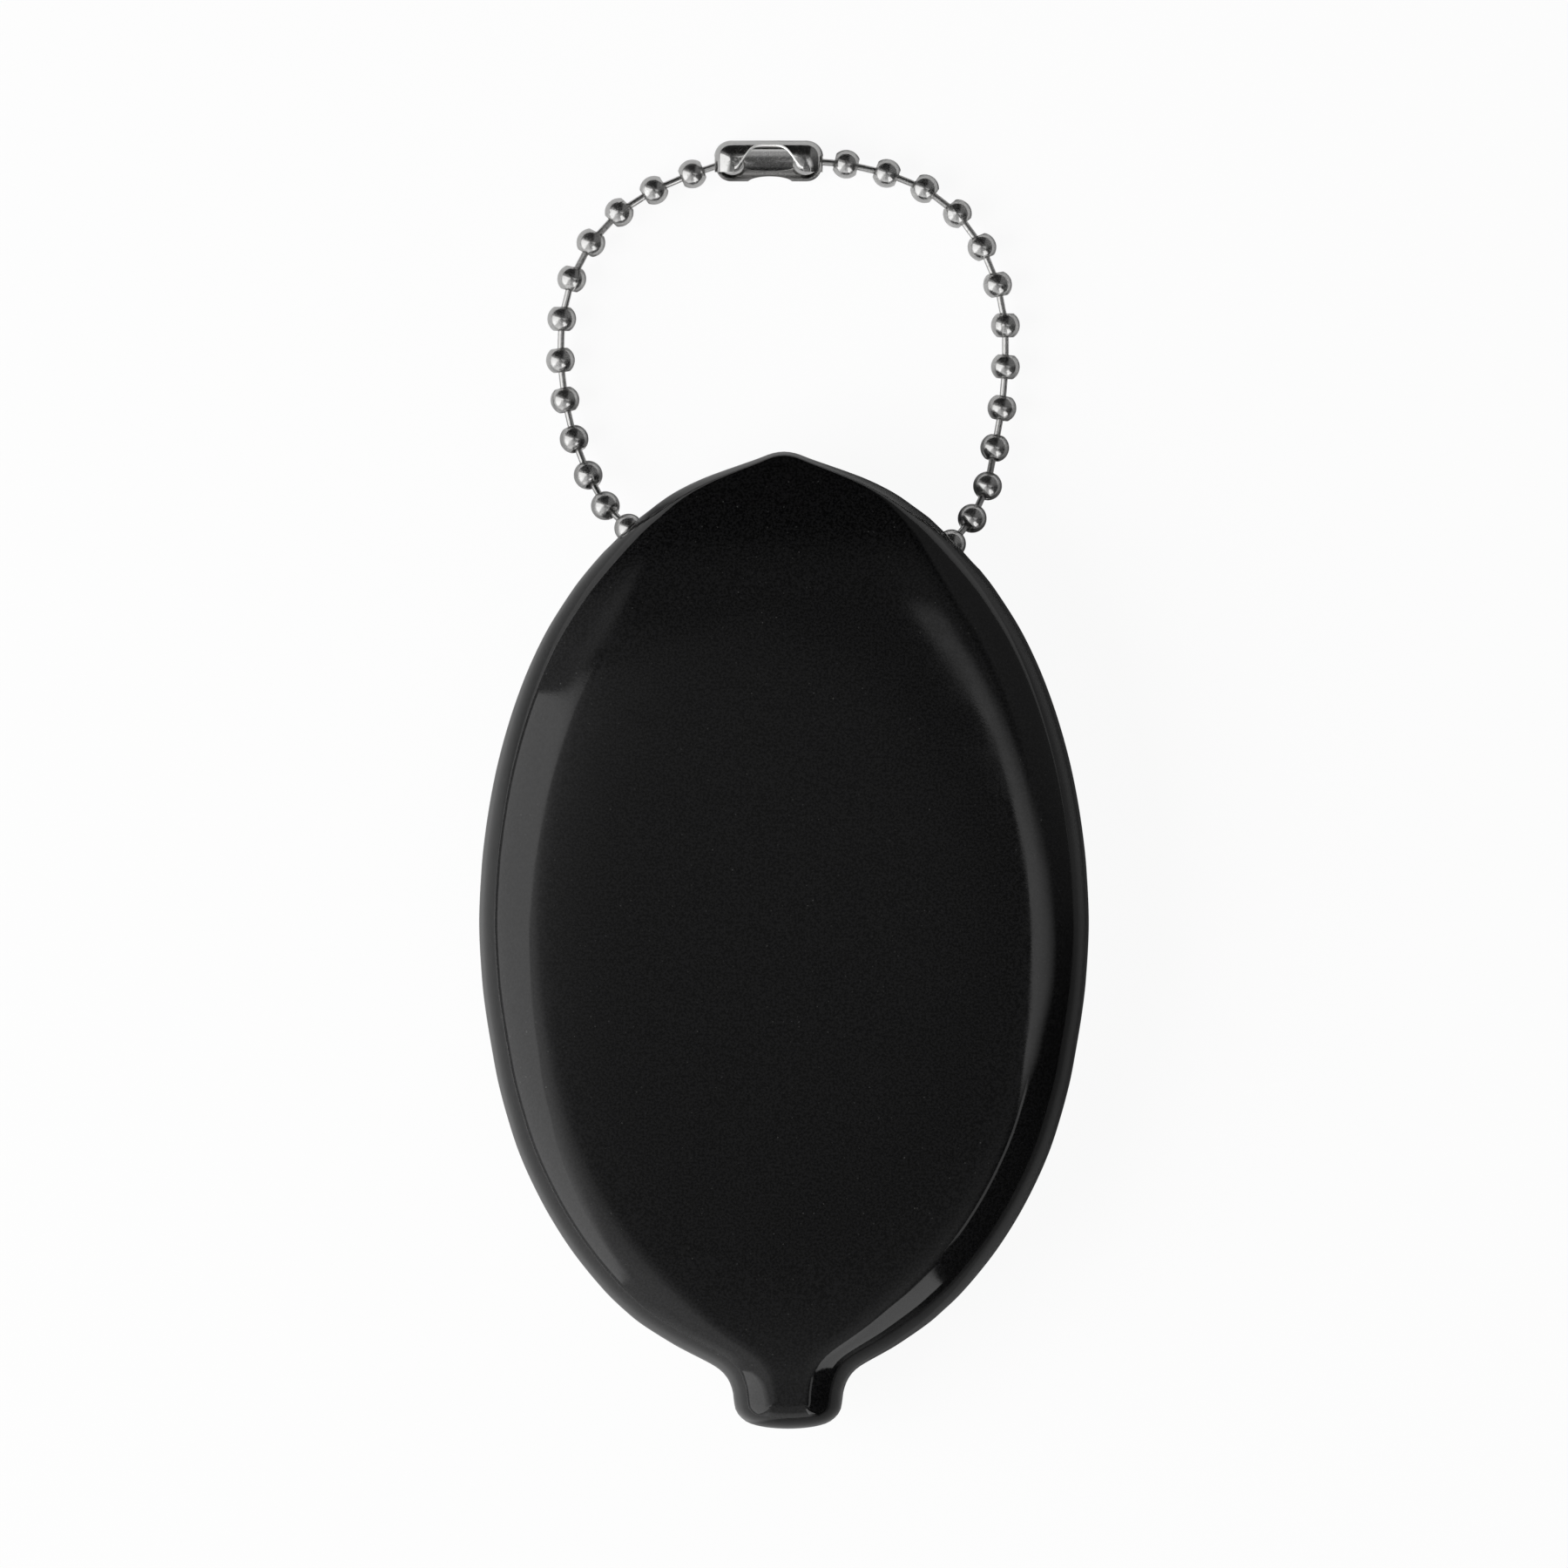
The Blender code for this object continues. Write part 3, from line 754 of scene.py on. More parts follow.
    def window_loop(self, ring: np.ndarray) -> np.ndarray:
        """Matches the points of a ring to the edge of the slit's window.

        Args:
            ring: the right half of the ring, the tip first.

        Returns:
            One point on the window's edge for each point of the ring.
        """
        half, reach = self.lip_width, self.slit_length / 2
        local = ring - (0, self.slit_middle)
        angle = np.arctan2(local[:, 0], local[:, 1])
        angle[0], angle[-1] = 0, math.pi
        for corner in (math.atan2(half, reach), math.pi - math.atan2(half, reach)):
            angle[np.argmin(abs(angle - corner))] = corner
        sine, cosine = np.sin(angle), np.cos(angle)
        length = np.minimum(half / np.maximum(abs(sine), 1e-9),
                            reach / np.maximum(abs(cosine), 1e-9))
        return np.column_stack((length * sine, length * cosine + self.slit_middle))

    def levels(self) -> list[np.ndarray]:
        """Every half loop of the skin, from the face's middle line over the rim, the underside,
        the window's edge and the hollow, to the hollow's middle line.

        Returns:
            Half loops of x, y and z.
        """
        made = []

        def lay(spot: np.ndarray, height: object) -> None:
            """Adds one half loop at its height over the table."""
            made.append(np.column_stack((spot, np.broadcast_to(height, len(spot)))))

        points = self.outline(OUTLINE_PIXELS)
        share = self.nub_share(points[:, 1])
        depth = self.rim_depth
        end_depth = depth + (self.nub_end_depth - depth) * share
        ring = points + self.inward(points, depth, self.rim_spread, end_depth)
        low_end = int(np.argmax(ring[:, 1] < on_plan(CENTRE, self.nub_rows[0]).y))
        ring[low_end:, 0] = np.minimum.accumulate(ring[low_end:, 0])
        under = ring - points
        thin = (self.tip_rim_depth - self.rim_depth) * self.tip_share(points[:, 1])
        way = self.inward(points, depth + thin, self.rim_spread, end_depth + thin)
        for share in np.linspace(0, 1, self.face_count + 1)[:-1]:
            spot = (points + way) * (share, 1)
            lay(spot, self.middle + self.rise(*spot.T))
        power = self.rim_power
        for angle in np.linspace(1, 0, self.rim_count + 1)[:-1] * math.pi / 2:
            out = math.cos(angle) ** (2 / power)
            spot = points + way * (1 - out)
            lay(spot, self.middle + self.rise(*spot.T) * (1 - out ** power) ** (1 / power))
        for angle in np.linspace(0, -1, self.rim_count + 1) * math.pi / 2:
            spot = points + under * (1 - math.cos(angle))
            lay(spot, self.middle + self.fall(spot[:, 1]) * math.sin(angle))
        ring = points + under
        edge = self.window_loop(ring)
        for share in np.linspace(0, 1, self.floor_count + 1)[1:]:
            spot = ring + (edge - ring) * share
            lay(spot, self.middle - self.fall(spot[:, 1]))
        made[-1][:, 2] = 0

        shell = self.outline(HOLLOW_PIXELS)
        shell = shell + self.inward(shell, self.wall, self.rim_spread)
        way = self.inward(shell, self.rim_depth - self.wall, self.inner_spread)
        ring = shell + way
        ceiling = self.face_reach - self.wall
        for share in np.linspace(1, 0, self.inner_floor_count + 1)[:-1]:
            lay(ring + (edge - ring) * share, self.wall)
        for angle in np.linspace(-1, 1, 2 * self.inner_rim_count + 1) * math.pi / 2:
            reach = self.middle - self.wall if angle < 0 else ceiling
            lay(shell + way * (1 - math.cos(angle)), self.middle + reach * math.sin(angle))
        for share in np.linspace(1, 0, self.inner_face_count + 1)[1:]:
            lay(ring * (share, 1), self.middle + ceiling)
        return made

    def skin(self) -> Obj:
        """Lays one grid over every level, so that the moulding is one closed skin.

        The moulding's face is a mirror, which shows the least unevenness, so its points are set
        from the measured outline instead of being pushed by hand.

        Returns:
            The shell without its rim holes.
        """
        stack = np.array(self.levels())
        around, last = 2 * self.half_count, len(stack) - 1
        made = Bench.new(bpy.ops.mesh.primitive_grid_add, "pouch_moulding",
                         x_subdivisions=around, y_subdivisions=last, size=1.0)
        grid = np.array([v.co[:2] for v in made.data.vertices])
        column = np.rint((grid[:, 0] + 0.5) * around).astype(int) % around
        level = np.rint((grid[:, 1] + 0.5) * last).astype(int)
        place = stack[level, np.where(column <= self.half_count, column, around - column)]
        place[:, 0] *= np.where(column <= self.half_count, 1, -1)
        place[:, 0] += self.nub_lean * self.nub_share(place[:, 1])
        made.data.vertices.foreach_set("co", place.astype(np.float32).ravel())
        made.data.update()
        Bench.outward(made, TINY)
        return made

    def punch(self, shell: Obj, left: Vector, right: Vector) -> None:
        """Cuts the two rim holes that the chain runs through.

        Args:
            shell: the moulding.
            left: the bead in the left hole.
            right: the bead in the right hole.
        """
        span = right - left
        length, height = self.hole_size
        cutter = Bench.new(bpy.ops.mesh.primitive_cube_add, "rim_holes", size=1.0,
                           location=(left + right) / 2,
                           rotation=(0, 0, math.atan2(span.y, span.x)))
        cutter.scale = (span.length + 2 * (length + self.hole_margin), length, height)
        bpy.ops.object.transform_apply(location=False, rotation=False, scale=True)
        Bench.round_off(cutter, self.hole_rounding, 6)
        Bench.combine(shell, cutter)

    def lip(self, name: str, side: int, half: int) -> Obj:
        """One half of one lip, a flap of the underside with a rounded slit edge.

        Args:
            name: the piece's name.
            side: -1 for the left lip, 1 for the right.
            half: 1 for the half towards the chain, -1 for the other.

        Returns:
            The piece.
        """
        width = self.lip_width - self.slit_gap / 2
        length = self.slit_length / 2
        slit = side * self.slit_gap / 2
        middle = (slit + side * width / 2, self.slit_middle + half * length / 2, self.wall / 2)
        made = Bench.block(name, (width, length, self.wall), middle)
        with Bench.editing(made, "EDGE"):
            Bench.pick(lambda e: all(abs(v.co.x - slit) < TINY for v in e.verts)
                       and abs(e.verts[0].co.y - e.verts[1].co.y) > TINY, "edges")
            bpy.ops.mesh.bevel(offset=self.slit_rounding, segments=4, affect="EDGES")
        across, along = self.lip_steps
        for k in range(1, across):
            Bench.slice(made, (slit + side * width * k / across, 0, 0), (1, 0, 0))
        for k in range(1, along):
            Bench.slice(made, (0, self.slit_middle + half * length * k / along, 0), (0, 1, 0))
        Bench.outward(made)
        Bench.smooth(made, 50)
        made.data.materials.append(self.material)
        return made

    def hang_lip(self, side: int, word: str, half: int, end: str) -> None:
        """Models one half lip and lays it in place of its lip node.

        Args:
            side: -1 for the left lip, 1 for the right.
            word: left or right.
            half: 1 for the half towards the chain, -1 for the other.
            end: upper or lower.
        """
        made = self.lip("slit_lip_%s_%s" % (word, end), side, half)
        reach = self.slit_length / 2
        start = Vector((0, self.slit_middle + half * reach, 0))
        across, along = (1 - self.crease_share) / self.lip_width, 1 / reach
        way = Vector((-side * across, -half * along, 0)) / (across ** 2 + along ** 2)
        start + way
        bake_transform(made)
        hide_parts("lip_" + word)
        LOG.info("%s: %d faces", made.name, len(made.data.polygons))

    def build(self, left: Vector, right: Vector) -> None:
        """Models the pouch, hangs its shell on its body and models the lip halves.

        Args:
            left: the bead in the left rim hole.
            right: the bead in the right rim hole.
        """
        shell = self.skin()
        self.punch(shell, left, right)
        Bench.smooth(shell, 34)
        shell.data.materials.clear()
        shell.data.materials.append(self.material)
        Bench.hang(shell, "pouch_shell", "pouch", "pouch_vinyl")
        for side, word in ((-1, "left"), (1, "right")):
            for half, end in ((1, "upper"), (-1, "lower")):
                self.hang_lip(side, word, half, end)


@dataclass
class BallChain:
    """The loop of hollow beads and dumbbell links, with the run inside the pouch."""

    bead_finish: Finish
    link_finish: Finish
    bead_radius: float = 0.0012
    bead_wall: float = 0.00018
    hole_radius: float = 0.00056
    rolled_depth: float = 0.00012
    seam_width: float = 0.00007
    seam_depth: float = 0.00005
    seam_turn: float = 2.4
    run_seam_turn: float = 1.3
    link_radius: float = 0.00028
    neck_radius: float = 0.00034
    head_radius: float = 0.00060
    head_thickness: float = 0.00025
    head_chamfer: float = 0.00005
    head_setback: float = 0.00035
    link_half: float = 0.0005
    most_tilt: float = math.radians(14.0)
    inner_beads: int = 7
    last_body: int = 13
    hole_height: float = 0.0055
    rise_shares: tuple = (1.0, 0.558, 0.2035, 0.035)
    caught_row: float = 184.5
    caught_column: float = 882.5
    caught_height: float = 0.0015
    caught_reach: float = 0.003035
    bead: Obj | None = field(default=None, repr=False)
    link: Obj | None = field(default=None, repr=False)

    def places(self) -> tuple[list, list]:
        """The bead centres.

        Returns:
            The left and the right beads, from the pouch up to the connector.
        """
        sides = []
        caught = on_plan(self.caught_column, self.caught_row, self.caught_height)
        for pixels, side in ((LEFT_BEAD_PIXELS, -1), (RIGHT_BEAD_PIXELS, 1)):
            made = []
            for i, (column, row) in enumerate(pixels):
                share = self.rise_shares[i] if i < len(self.rise_shares) else 0
                height = self.bead_radius + (self.hole_height - self.bead_radius) * share
                made.append(on_plan(column, row, height))
            sides.append(made + [caught + Vector((side * self.caught_reach, 0, 0))])
        return sides[0], sides[1]

    def model_bead(self) -> Obj:
        """A formed bead: rolled round two holes, with the seam where the strip meets.

        Returns:
            The bead at the origin, its holes along Z.
        """
        made = Bench.new(bpy.ops.mesh.primitive_uv_sphere_add, "bead_pattern", segments=40,
                         ring_count=26, radius=self.bead_radius)
        rim = math.sqrt(self.bead_radius ** 2 - self.hole_radius ** 2)
        for level in (rim, -rim):
            Bench.slice(made, (0, 0, level), (0, 0, 1))
        with Bench.editing(made):
            Bench.pick(lambda v: abs(v.co.z) > rim + 1e-7)
            bpy.ops.mesh.delete(type="VERT")
        with Bench.editing(made, "EDGE"):
            for sunk in (False, True):
                bpy.ops.mesh.select_all(action="DESELECT")
                Bench.pick(lambda e: all(abs(v.co.y) < TINY and v.co.x > 0 for v in e.verts),
                           "edges")
                if sunk:
                    bpy.ops.transform.translate(value=(-self.seam_depth, 0, 0))
                else:
                    bpy.ops.mesh.bevel(offset=self.seam_width / 2, segments=2, affect="EDGES")
        for side in (1, -1):
            self.roll_hole(made, side, rim)
        Bench.outward(made)
        Bench.finish_modifier(made, "SOLIDIFY", thickness=self.bead_wall, offset=-1.0)
        Bench.smooth(made, 40)
        made.data.materials.append(self.bead_finish)
        return made

    def roll_hole(self, made: Obj, side: int, rim: float) -> None:
        """Rolls the edge of one hole inwards.

        Args:
            made: the bead.
            side: 1 or -1 along Z.
            rim: the height of the hole's edge.
        """
        for shrink, sink in ((0.93, 0.25), (0.95, 0.75)):
            with Bench.editing(made, "EDGE"):
                Bench.pick(lambda e: e.is_boundary and e.verts[0].co.z * side > 0, "edges")
                bpy.ops.mesh.extrude_edges_move(
                    TRANSFORM_OT_translate={"value": (0, 0, -side * self.rolled_depth * sink)})
                bpy.ops.transform.resize(value=(shrink, shrink, 1),
                                         center_override=(0, 0, rim * side))

    def model_link(self) -> Obj:
        """A dumbbell link: a wire with a neck and a flat head at each end.

        Returns:
            The link at the origin along Z, with its heads' outer faces one millimetre apart.
        """
        neck, chamfer = self.link_half - self.head_thickness, self.head_chamfer
        made = Bench.new(bpy.ops.mesh.primitive_cylinder_add, "link_pattern", vertices=20,
                         radius=self.link_radius, depth=2 * neck)
        steps = ((0.0, self.neck_radius / self.link_radius),
                 (0.00002, self.head_radius / self.neck_radius * 0.94), (chamfer, 1 / 0.94),
                 (self.head_thickness - 2 * chamfer - 0.00002, 1.0), (chamfer, 0.9))
        for side in (1, -1):
            top = neck
            for rise, grow in steps:
                level = top * side
                with Bench.editing(made, "FACE"):
                    Bench.pick(lambda f: abs(f.normal.z) > 0.9
                               and abs(f.calc_center_median().z - level) < 1e-7, "faces")
                    bpy.ops.mesh.extrude_region_move(
                        TRANSFORM_OT_translate={"value": (0, 0, rise * side)})
                    top += rise
                    bpy.ops.transform.resize(value=(grow, grow, 1),
                                             center_override=(0, 0, top * side))
        Bench.outward(made)
        Bench.smooth(made, 35)
        made.data.materials.append(self.link_finish)
        return made

    def bead_at(self, name: str, place: Vector, direction: Vector, roll: float) -> Obj:
        """Copies the bead to a place, its holes along a direction and its seam rolled."""
        return Bench.copy(self.bead, name, facing(direction, place)
                          @ Matrix.Rotation(roll, 4, "Z"))

    def link_between(self, name: str, start: Vector, end: Vector) -> Obj:
        """Copies the link between two beads, drawn out to fit.

        Args:
            name: the copy's name.
            start: the first bead's centre.
            end: the second bead's centre.

        Returns:
            The copy.
        """
        made = Bench.copy(self.link, name, Matrix.Identity(4))
        longer = (end - start).length / 2 - self.head_setback - self.link_half
        for vertex in made.data.vertices:
            vertex.co.z += longer if vertex.co.z > 0 else -longer
        made.data.transform(facing((end - start).normalized(), (start + end) / 2))
        return made

    def bead_line(self, places: list, k: int, inward: Vector) -> Vector:
        """The line of a bead's holes, which leans to the next link on a tight bend.

        Args:
            places: the bead centres on its side.
            k: the bead's number from the pouch.
            inward: the line of the run inside the pouch, for the bead in the rim hole.

        Returns:
            The direction.
        """
        if k == 0:
            return ((places[1] - places[0]).normalized() + inward * 0.3).normalized()
        lower = (places[k] - places[k - 1]).normalized()
        if k + 1 == len(places):
            return lower
        upper = (places[k + 1] - places[k]).normalized()
        bend = lower.angle(upper)
        if bend <= self.most_tilt:
            return lower
        return Matrix.Rotation(bend - self.most_tilt, 3, lower.cross(upper)) @ lower

    def inner_run(self, start: Vector, end: Vector) -> Obj:
        """The stretch of chain inside the pouch, joined to one piece.

        Args:
            start: the bead in the left rim hole.
            end: the bead in the right rim hole.

        Returns:
            The piece.
        """
        spots = [start.lerp(end, k / (self.inner_beads + 1))
                 for k in range(self.inner_beads + 2)]
        line = (end - start).normalized()
        parts = [self.link_between("run_link", a, b) for a, b in zip(spots, spots[1:])]
        parts += [self.bead_at("run_bead", spot, line, self.run_seam_turn * k)
                  for k, spot in enumerate(spots[1:-1])]
        made = Bench.join(parts)
        made.name = "inner_run"
        return made

    def build(self) -> None:
        """Models the chain and hangs its pieces on their bodies."""
        left, right = self.places()
        self.bead, self.link = self.model_bead(), self.model_link()
        run = (right[0] - left[0]).normalized()
        for places, side, inward, roll in ((left, "left", -run, 0.7), (right, "right", run, 2.6)):
            for k, place in enumerate(places):
                body = "chain_%02d" % min(k + 1, self.last_body)
                node = "%s_%02d" % (side, k + 1)
                line = self.bead_line(places, k, inward)
                made = self.bead_at("ball_" + node, place, line, self.seam_turn * k + roll)
                Bench.hang(made, "bead_" + node, body, "bead_nickel")
                if k + 1 < len(places):
                    made = self.link_between("dumbbell_" + node, place, places[k + 1])
                    Bench.hang(made, "link_" + node, body, "link_nickel")
        Bench.hang(self.inner_run(left[0], right[0]), "chain_inner_run", "chain_01",
                   "bead_nickel")
        for pattern in (self.bead, self.link):
            bpy.data.objects.remove(pattern, do_unlink=True)


@dataclass
class Connector:
    """The pressed sheet clip that closes the loop."""

    finish: Finish
    # Finish of a painted highlight on the clip's sharp edges and rolled edge.
    edge_highlight_finish: Finish
    length: float = 0.00905
    width: float = 0.00347
    thickness: float = 0.00320
    wall: float = 0.00022
    rounding: float = 0.00138
    slit: float = 0.0013
    slit_top: float = 0.00045
    front_edge: float = 0.00090
    notch_width: float = 0.0037
    notch_height: float = 0.00054
    notch_shift: float = 0.0001
    arch_end_land: float = 0.001675
    arch_top: float = 0.00133
    arch_foot: float = 0.00050
    arch_steps: int = 48
    edge_rounding: float = 0.00009
    roll_radius: float = 0.000105
    roll_steps: int = 10
    front_longer: float = 0.0009
    weld: float = 0.00001
    over: float = 0.001
    bead_height: float = 0.0015
    column: float = 882.5
    row: float = 185.5

    def half_shell(self, name: str, centre: Vector, longer: float, side: int) -> Obj:
        """The front or the back of the folded sheet, hollow and open where the two meet.

        Args:
            name: its name.
            centre: the clip's middle.
            longer: how much further down its fold would lie than on the other half.
            side: 1 for the front, -1 for the back.

        Returns:
            The half.
        """
        size = Vector((self.length, self.width + longer, self.thickness))
        middle = centre - Vector((0, longer / 2, 0))
        made = Bench.block(name, tuple(size), middle, self.rounding, 10)
        inner = size - Vector((2, 2, 2)) * self.wall
        Bench.combine(made, Bench.block("hollow", tuple(inner), middle,
                                        self.rounding - self.wall))
        spot = Vector((centre.x, centre.y, self.bead_height - side * (self.thickness - self.weld)))
        Bench.combine(made, Bench.block("other_half", (2 * self.length, 4 * self.width,
                                                       2 * self.thickness), spot))
        return made

    def arch_rise(self, across: float) -> float:
        """How high the arch stands over the clip's middle, at a share of its half width."""
        curve = 0.5 + 0.5 * math.cos(math.pi * across ** 2)
        return -self.arch_foot + (self.arch_top + self.arch_foot) * curve

    def rolled_edge(self, centre: Vector) -> Obj:
        """The rolled edge that runs round the arch, as a thin bar.

        Args:
            centre: the clip's middle.

        Returns:
            The bar.
        """
        half = self.length / 2 - self.arch_end_land
        made = Bench.new(bpy.ops.mesh.primitive_grid_add, "rolled_edge", size=1.0,
                         x_subdivisions=2 * self.arch_steps, y_subdivisions=self.roll_steps)
        for vertex in made.data.vertices:
            across = 2 * vertex.co.x
            angle = 2 * math.pi * (vertex.co.y + 0.5)
            rise = self.arch_rise(across)
            lean = (self.arch_rise(across + 0.01) - self.arch_rise(across - 0.01)) / 0.02 / half
            over = max(0.0, rise - (self.width / 2 - self.rounding))
            drop = self.rounding - math.sqrt(self.rounding ** 2 - over ** 2)
            out = Vector((-lean, 1, 0)).normalized() * math.cos(angle)
            vertex.co = (centre + Vector((across * half, rise, self.thickness / 2 - drop
                                          - self.wall * 0.45))
                         + (out + Vector((0, 0, math.sin(angle)))) * self.roll_radius)
        Bench.outward(made, TINY)
        # The rolled edge takes the painted-highlight finish.
        made.data.materials.append(self.edge_highlight_finish)
        return made

    def arch(self, centre: Vector) -> Obj:
        """The cutter of the arched opening in the front sheet.

        Args:
            centre: the clip's middle.

        Returns:
            The cutter.
        """
        half = self.length / 2 - self.arch_end_land
        made = Bench.new(bpy.ops.mesh.primitive_grid_add, "arch", location=centre,
                         x_subdivisions=self.arch_steps, y_subdivisions=1, size=2 * half)
        for vertex in made.data.vertices:
            across = max(-1.0, min(1.0, vertex.co.x / half))
            vertex.co.y = self.arch_rise(across) if vertex.co.y > 0 else -self.width
        with Bench.editing(made, "FACE", "SELECT"):
            bpy.ops.mesh.extrude_region_move(
                TRANSFORM_OT_translate={"value": (0, 0, self.thickness)})
        Bench.outward(made)
        return made

    def notch(self, centre: Vector) -> Obj:
        """The cutter of the shallow notch in the long edge below the arch.

        Args:
            centre: the clip's middle.

        Returns:
            The cutter.
        """
        made = Bench.new(bpy.ops.mesh.primitive_cylinder_add, "notch", vertices=64, radius=1.0,
                         depth=self.thickness,
                         location=(centre.x + self.notch_shift, centre.y - self.width / 2,
                                   centre.z))
        made.scale = (self.notch_width / 2, self.notch_height, 1)
        bpy.ops.object.transform_apply(location=False, rotation=False, scale=True)
        return made

    def build(self) -> None:
        """Models the clip and hangs it on its body."""
        centre = on_plan(self.column, self.row, self.thickness / 2)
        made = self.half_shell("clip", centre, self.front_longer, 1)
        Bench.combine(made, self.half_shell("clip_back", centre, 0.0, -1), "UNION")
        Bench.combine(made, self.arch(centre))
        long = self.length + 2 * self.over
        height = self.width / 2 + self.slit_top + self.over
        spot = Vector((centre.x, centre.y + self.slit_top - height / 2, self.bead_height))
        Bench.combine(made, Bench.block("end_slit", (long, height, self.slit), spot))
        height = self.width / 2 - self.front_edge + self.over
        depth = self.thickness / 2 + self.over
        spot = Vector((centre.x, centre.y - self.front_edge - height / 2,
                       self.bead_height + depth / 2))
        Bench.combine(made, Bench.block("front", (long, height, depth), spot))
        Bench.combine(made, self.notch(centre))
        made.data.materials.clear()
        for finish in (self.finish, self.edge_highlight_finish):
            made.data.materials.append(finish)
        # The bevels on sharp edges take the painted-highlight finish as material 1, which paints
        # bright lines along them.
        Bench.finish_modifier(made, "BEVEL", width=self.edge_rounding, segments=3, material=1,
                              limit_method="ANGLE", angle_limit=math.radians(50))
        made = Bench.join([self.rolled_edge(centre), made])
        Bench.smooth(made, 35)
        Bench.hang(made, "chain_connector", "chain_13", "connector_nickel")


@dataclass
class Softbox:
    """One soft lamp, given by where it stands as seen from the object."""

    name: str
    azimuth: float
    tilt: float
    distance: float
    size: tuple
    radiance: float

    def build(self) -> None:
        """Adds the lamp, turned to the object."""
        azimuth, tilt = math.radians(self.azimuth), math.radians(self.tilt)
        direction = Vector((math.sin(tilt) * math.cos(azimuth),
                            math.sin(tilt) * math.sin(azimuth), math.cos(tilt)))
        lamp = Bench.new(bpy.ops.object.light_add, self.name, type="AREA",
                         location=direction * self.distance)
        lamp.data.shape = "RECTANGLE"
        lamp.data.size, lamp.data.size_y = self.size
        lamp.data.energy = self.radiance * math.pi * self.size[0] * self.size[1]
        sideways = Vector((-math.sin(azimuth), math.cos(azimuth), 0))
        turn = Matrix((sideways, direction.cross(sideways), direction)).transposed()
        lamp.rotation_euler = turn.to_euler()
        lamp.visible_glossy = False
        LOG.info("%s", lamp.name)


@dataclass
class Mirrored:
    """The lights as the object mirrors them, each placed on a ceiling one unit up."""

    wires: Wires
    z: Value
    u: Value
    v: Value

    def left_box(self) -> Value:
        """The large softbox on the left, with its glow inwards.

        Returns:
            The brightness.
        """
        spot = self.wires.add("CombineXYZ", {0: self.u, 1: self.v})
        reach = self.wires.add("VectorMath", {0: spot, 1: (0.543, -1.49, 0.0)},
                               operation="DISTANCE").out("Value")
        glow = reach.grade(1.49, 1.67) * (self.v * -1.0).grade(-0.15, 0.40, 0.38, 0.80)
        level = glow.most(reach.grade(1.668, 1.688) * 1.10)
        upper = (self.v + self.u * 0.38).grade(0.004, 0.024, 1.0, 0.0)
        return level * upper * (self.v - self.u).grade(-0.10, 0.22) * self.z.grade(0.10, 0.14)

    def front_box(self) -> Value:
        """The softbox at the front right.

        Returns:
            The brightness.
        """
        along = self.u * 0.50 + self.v * -0.866
        across = self.u * 0.866 + self.v * 0.50
        inside = along * 0.26 - abs(across)
        return (inside.grade(-0.02, 0.02) * 1.45 * along.grade(0.64, 0.70)
                * along.grade(3.2, 3.7, 1.0, 0.0))

    def panel(self, centre: tuple, turn: float, half: tuple, level: float) -> Value:
        """A dim reflector.

        Args:
            centre: its middle on the ceiling.
            turn: its turn there in degrees.
            half: half its length and half its width.
            level: its brightness.

        Returns:
            The brightness.
        """
        cosine, sine = math.cos(math.radians(turn)), math.sin(math.radians(turn))
        x, y = self.u - centre[0], self.v - centre[1]
        ends = abs(x * cosine + y * sine).grade(half[0] * 0.85, half[0], level, 0.0)
        return ends * abs(y * cosine - x * sine).grade(half[1] * 0.85, half[1], 1.0, 0.0)

    def right_strip(self) -> Value:
        """The light strip on the right, crisp on its near edge.

        Returns:
            The brightness.
        """
        across = (self.u - 0.13) * 0.447 + self.v * 0.894
        return (across.grade(0.02, 0.42, 0.86, 0.0) * across.grade(-0.003, 0.003)
                * self.u.grade(0.042, 0.054) * self.v.grade(-0.20, -0.07)
                * self.v.grade(0.0, 0.11, 1.0, 0.06))


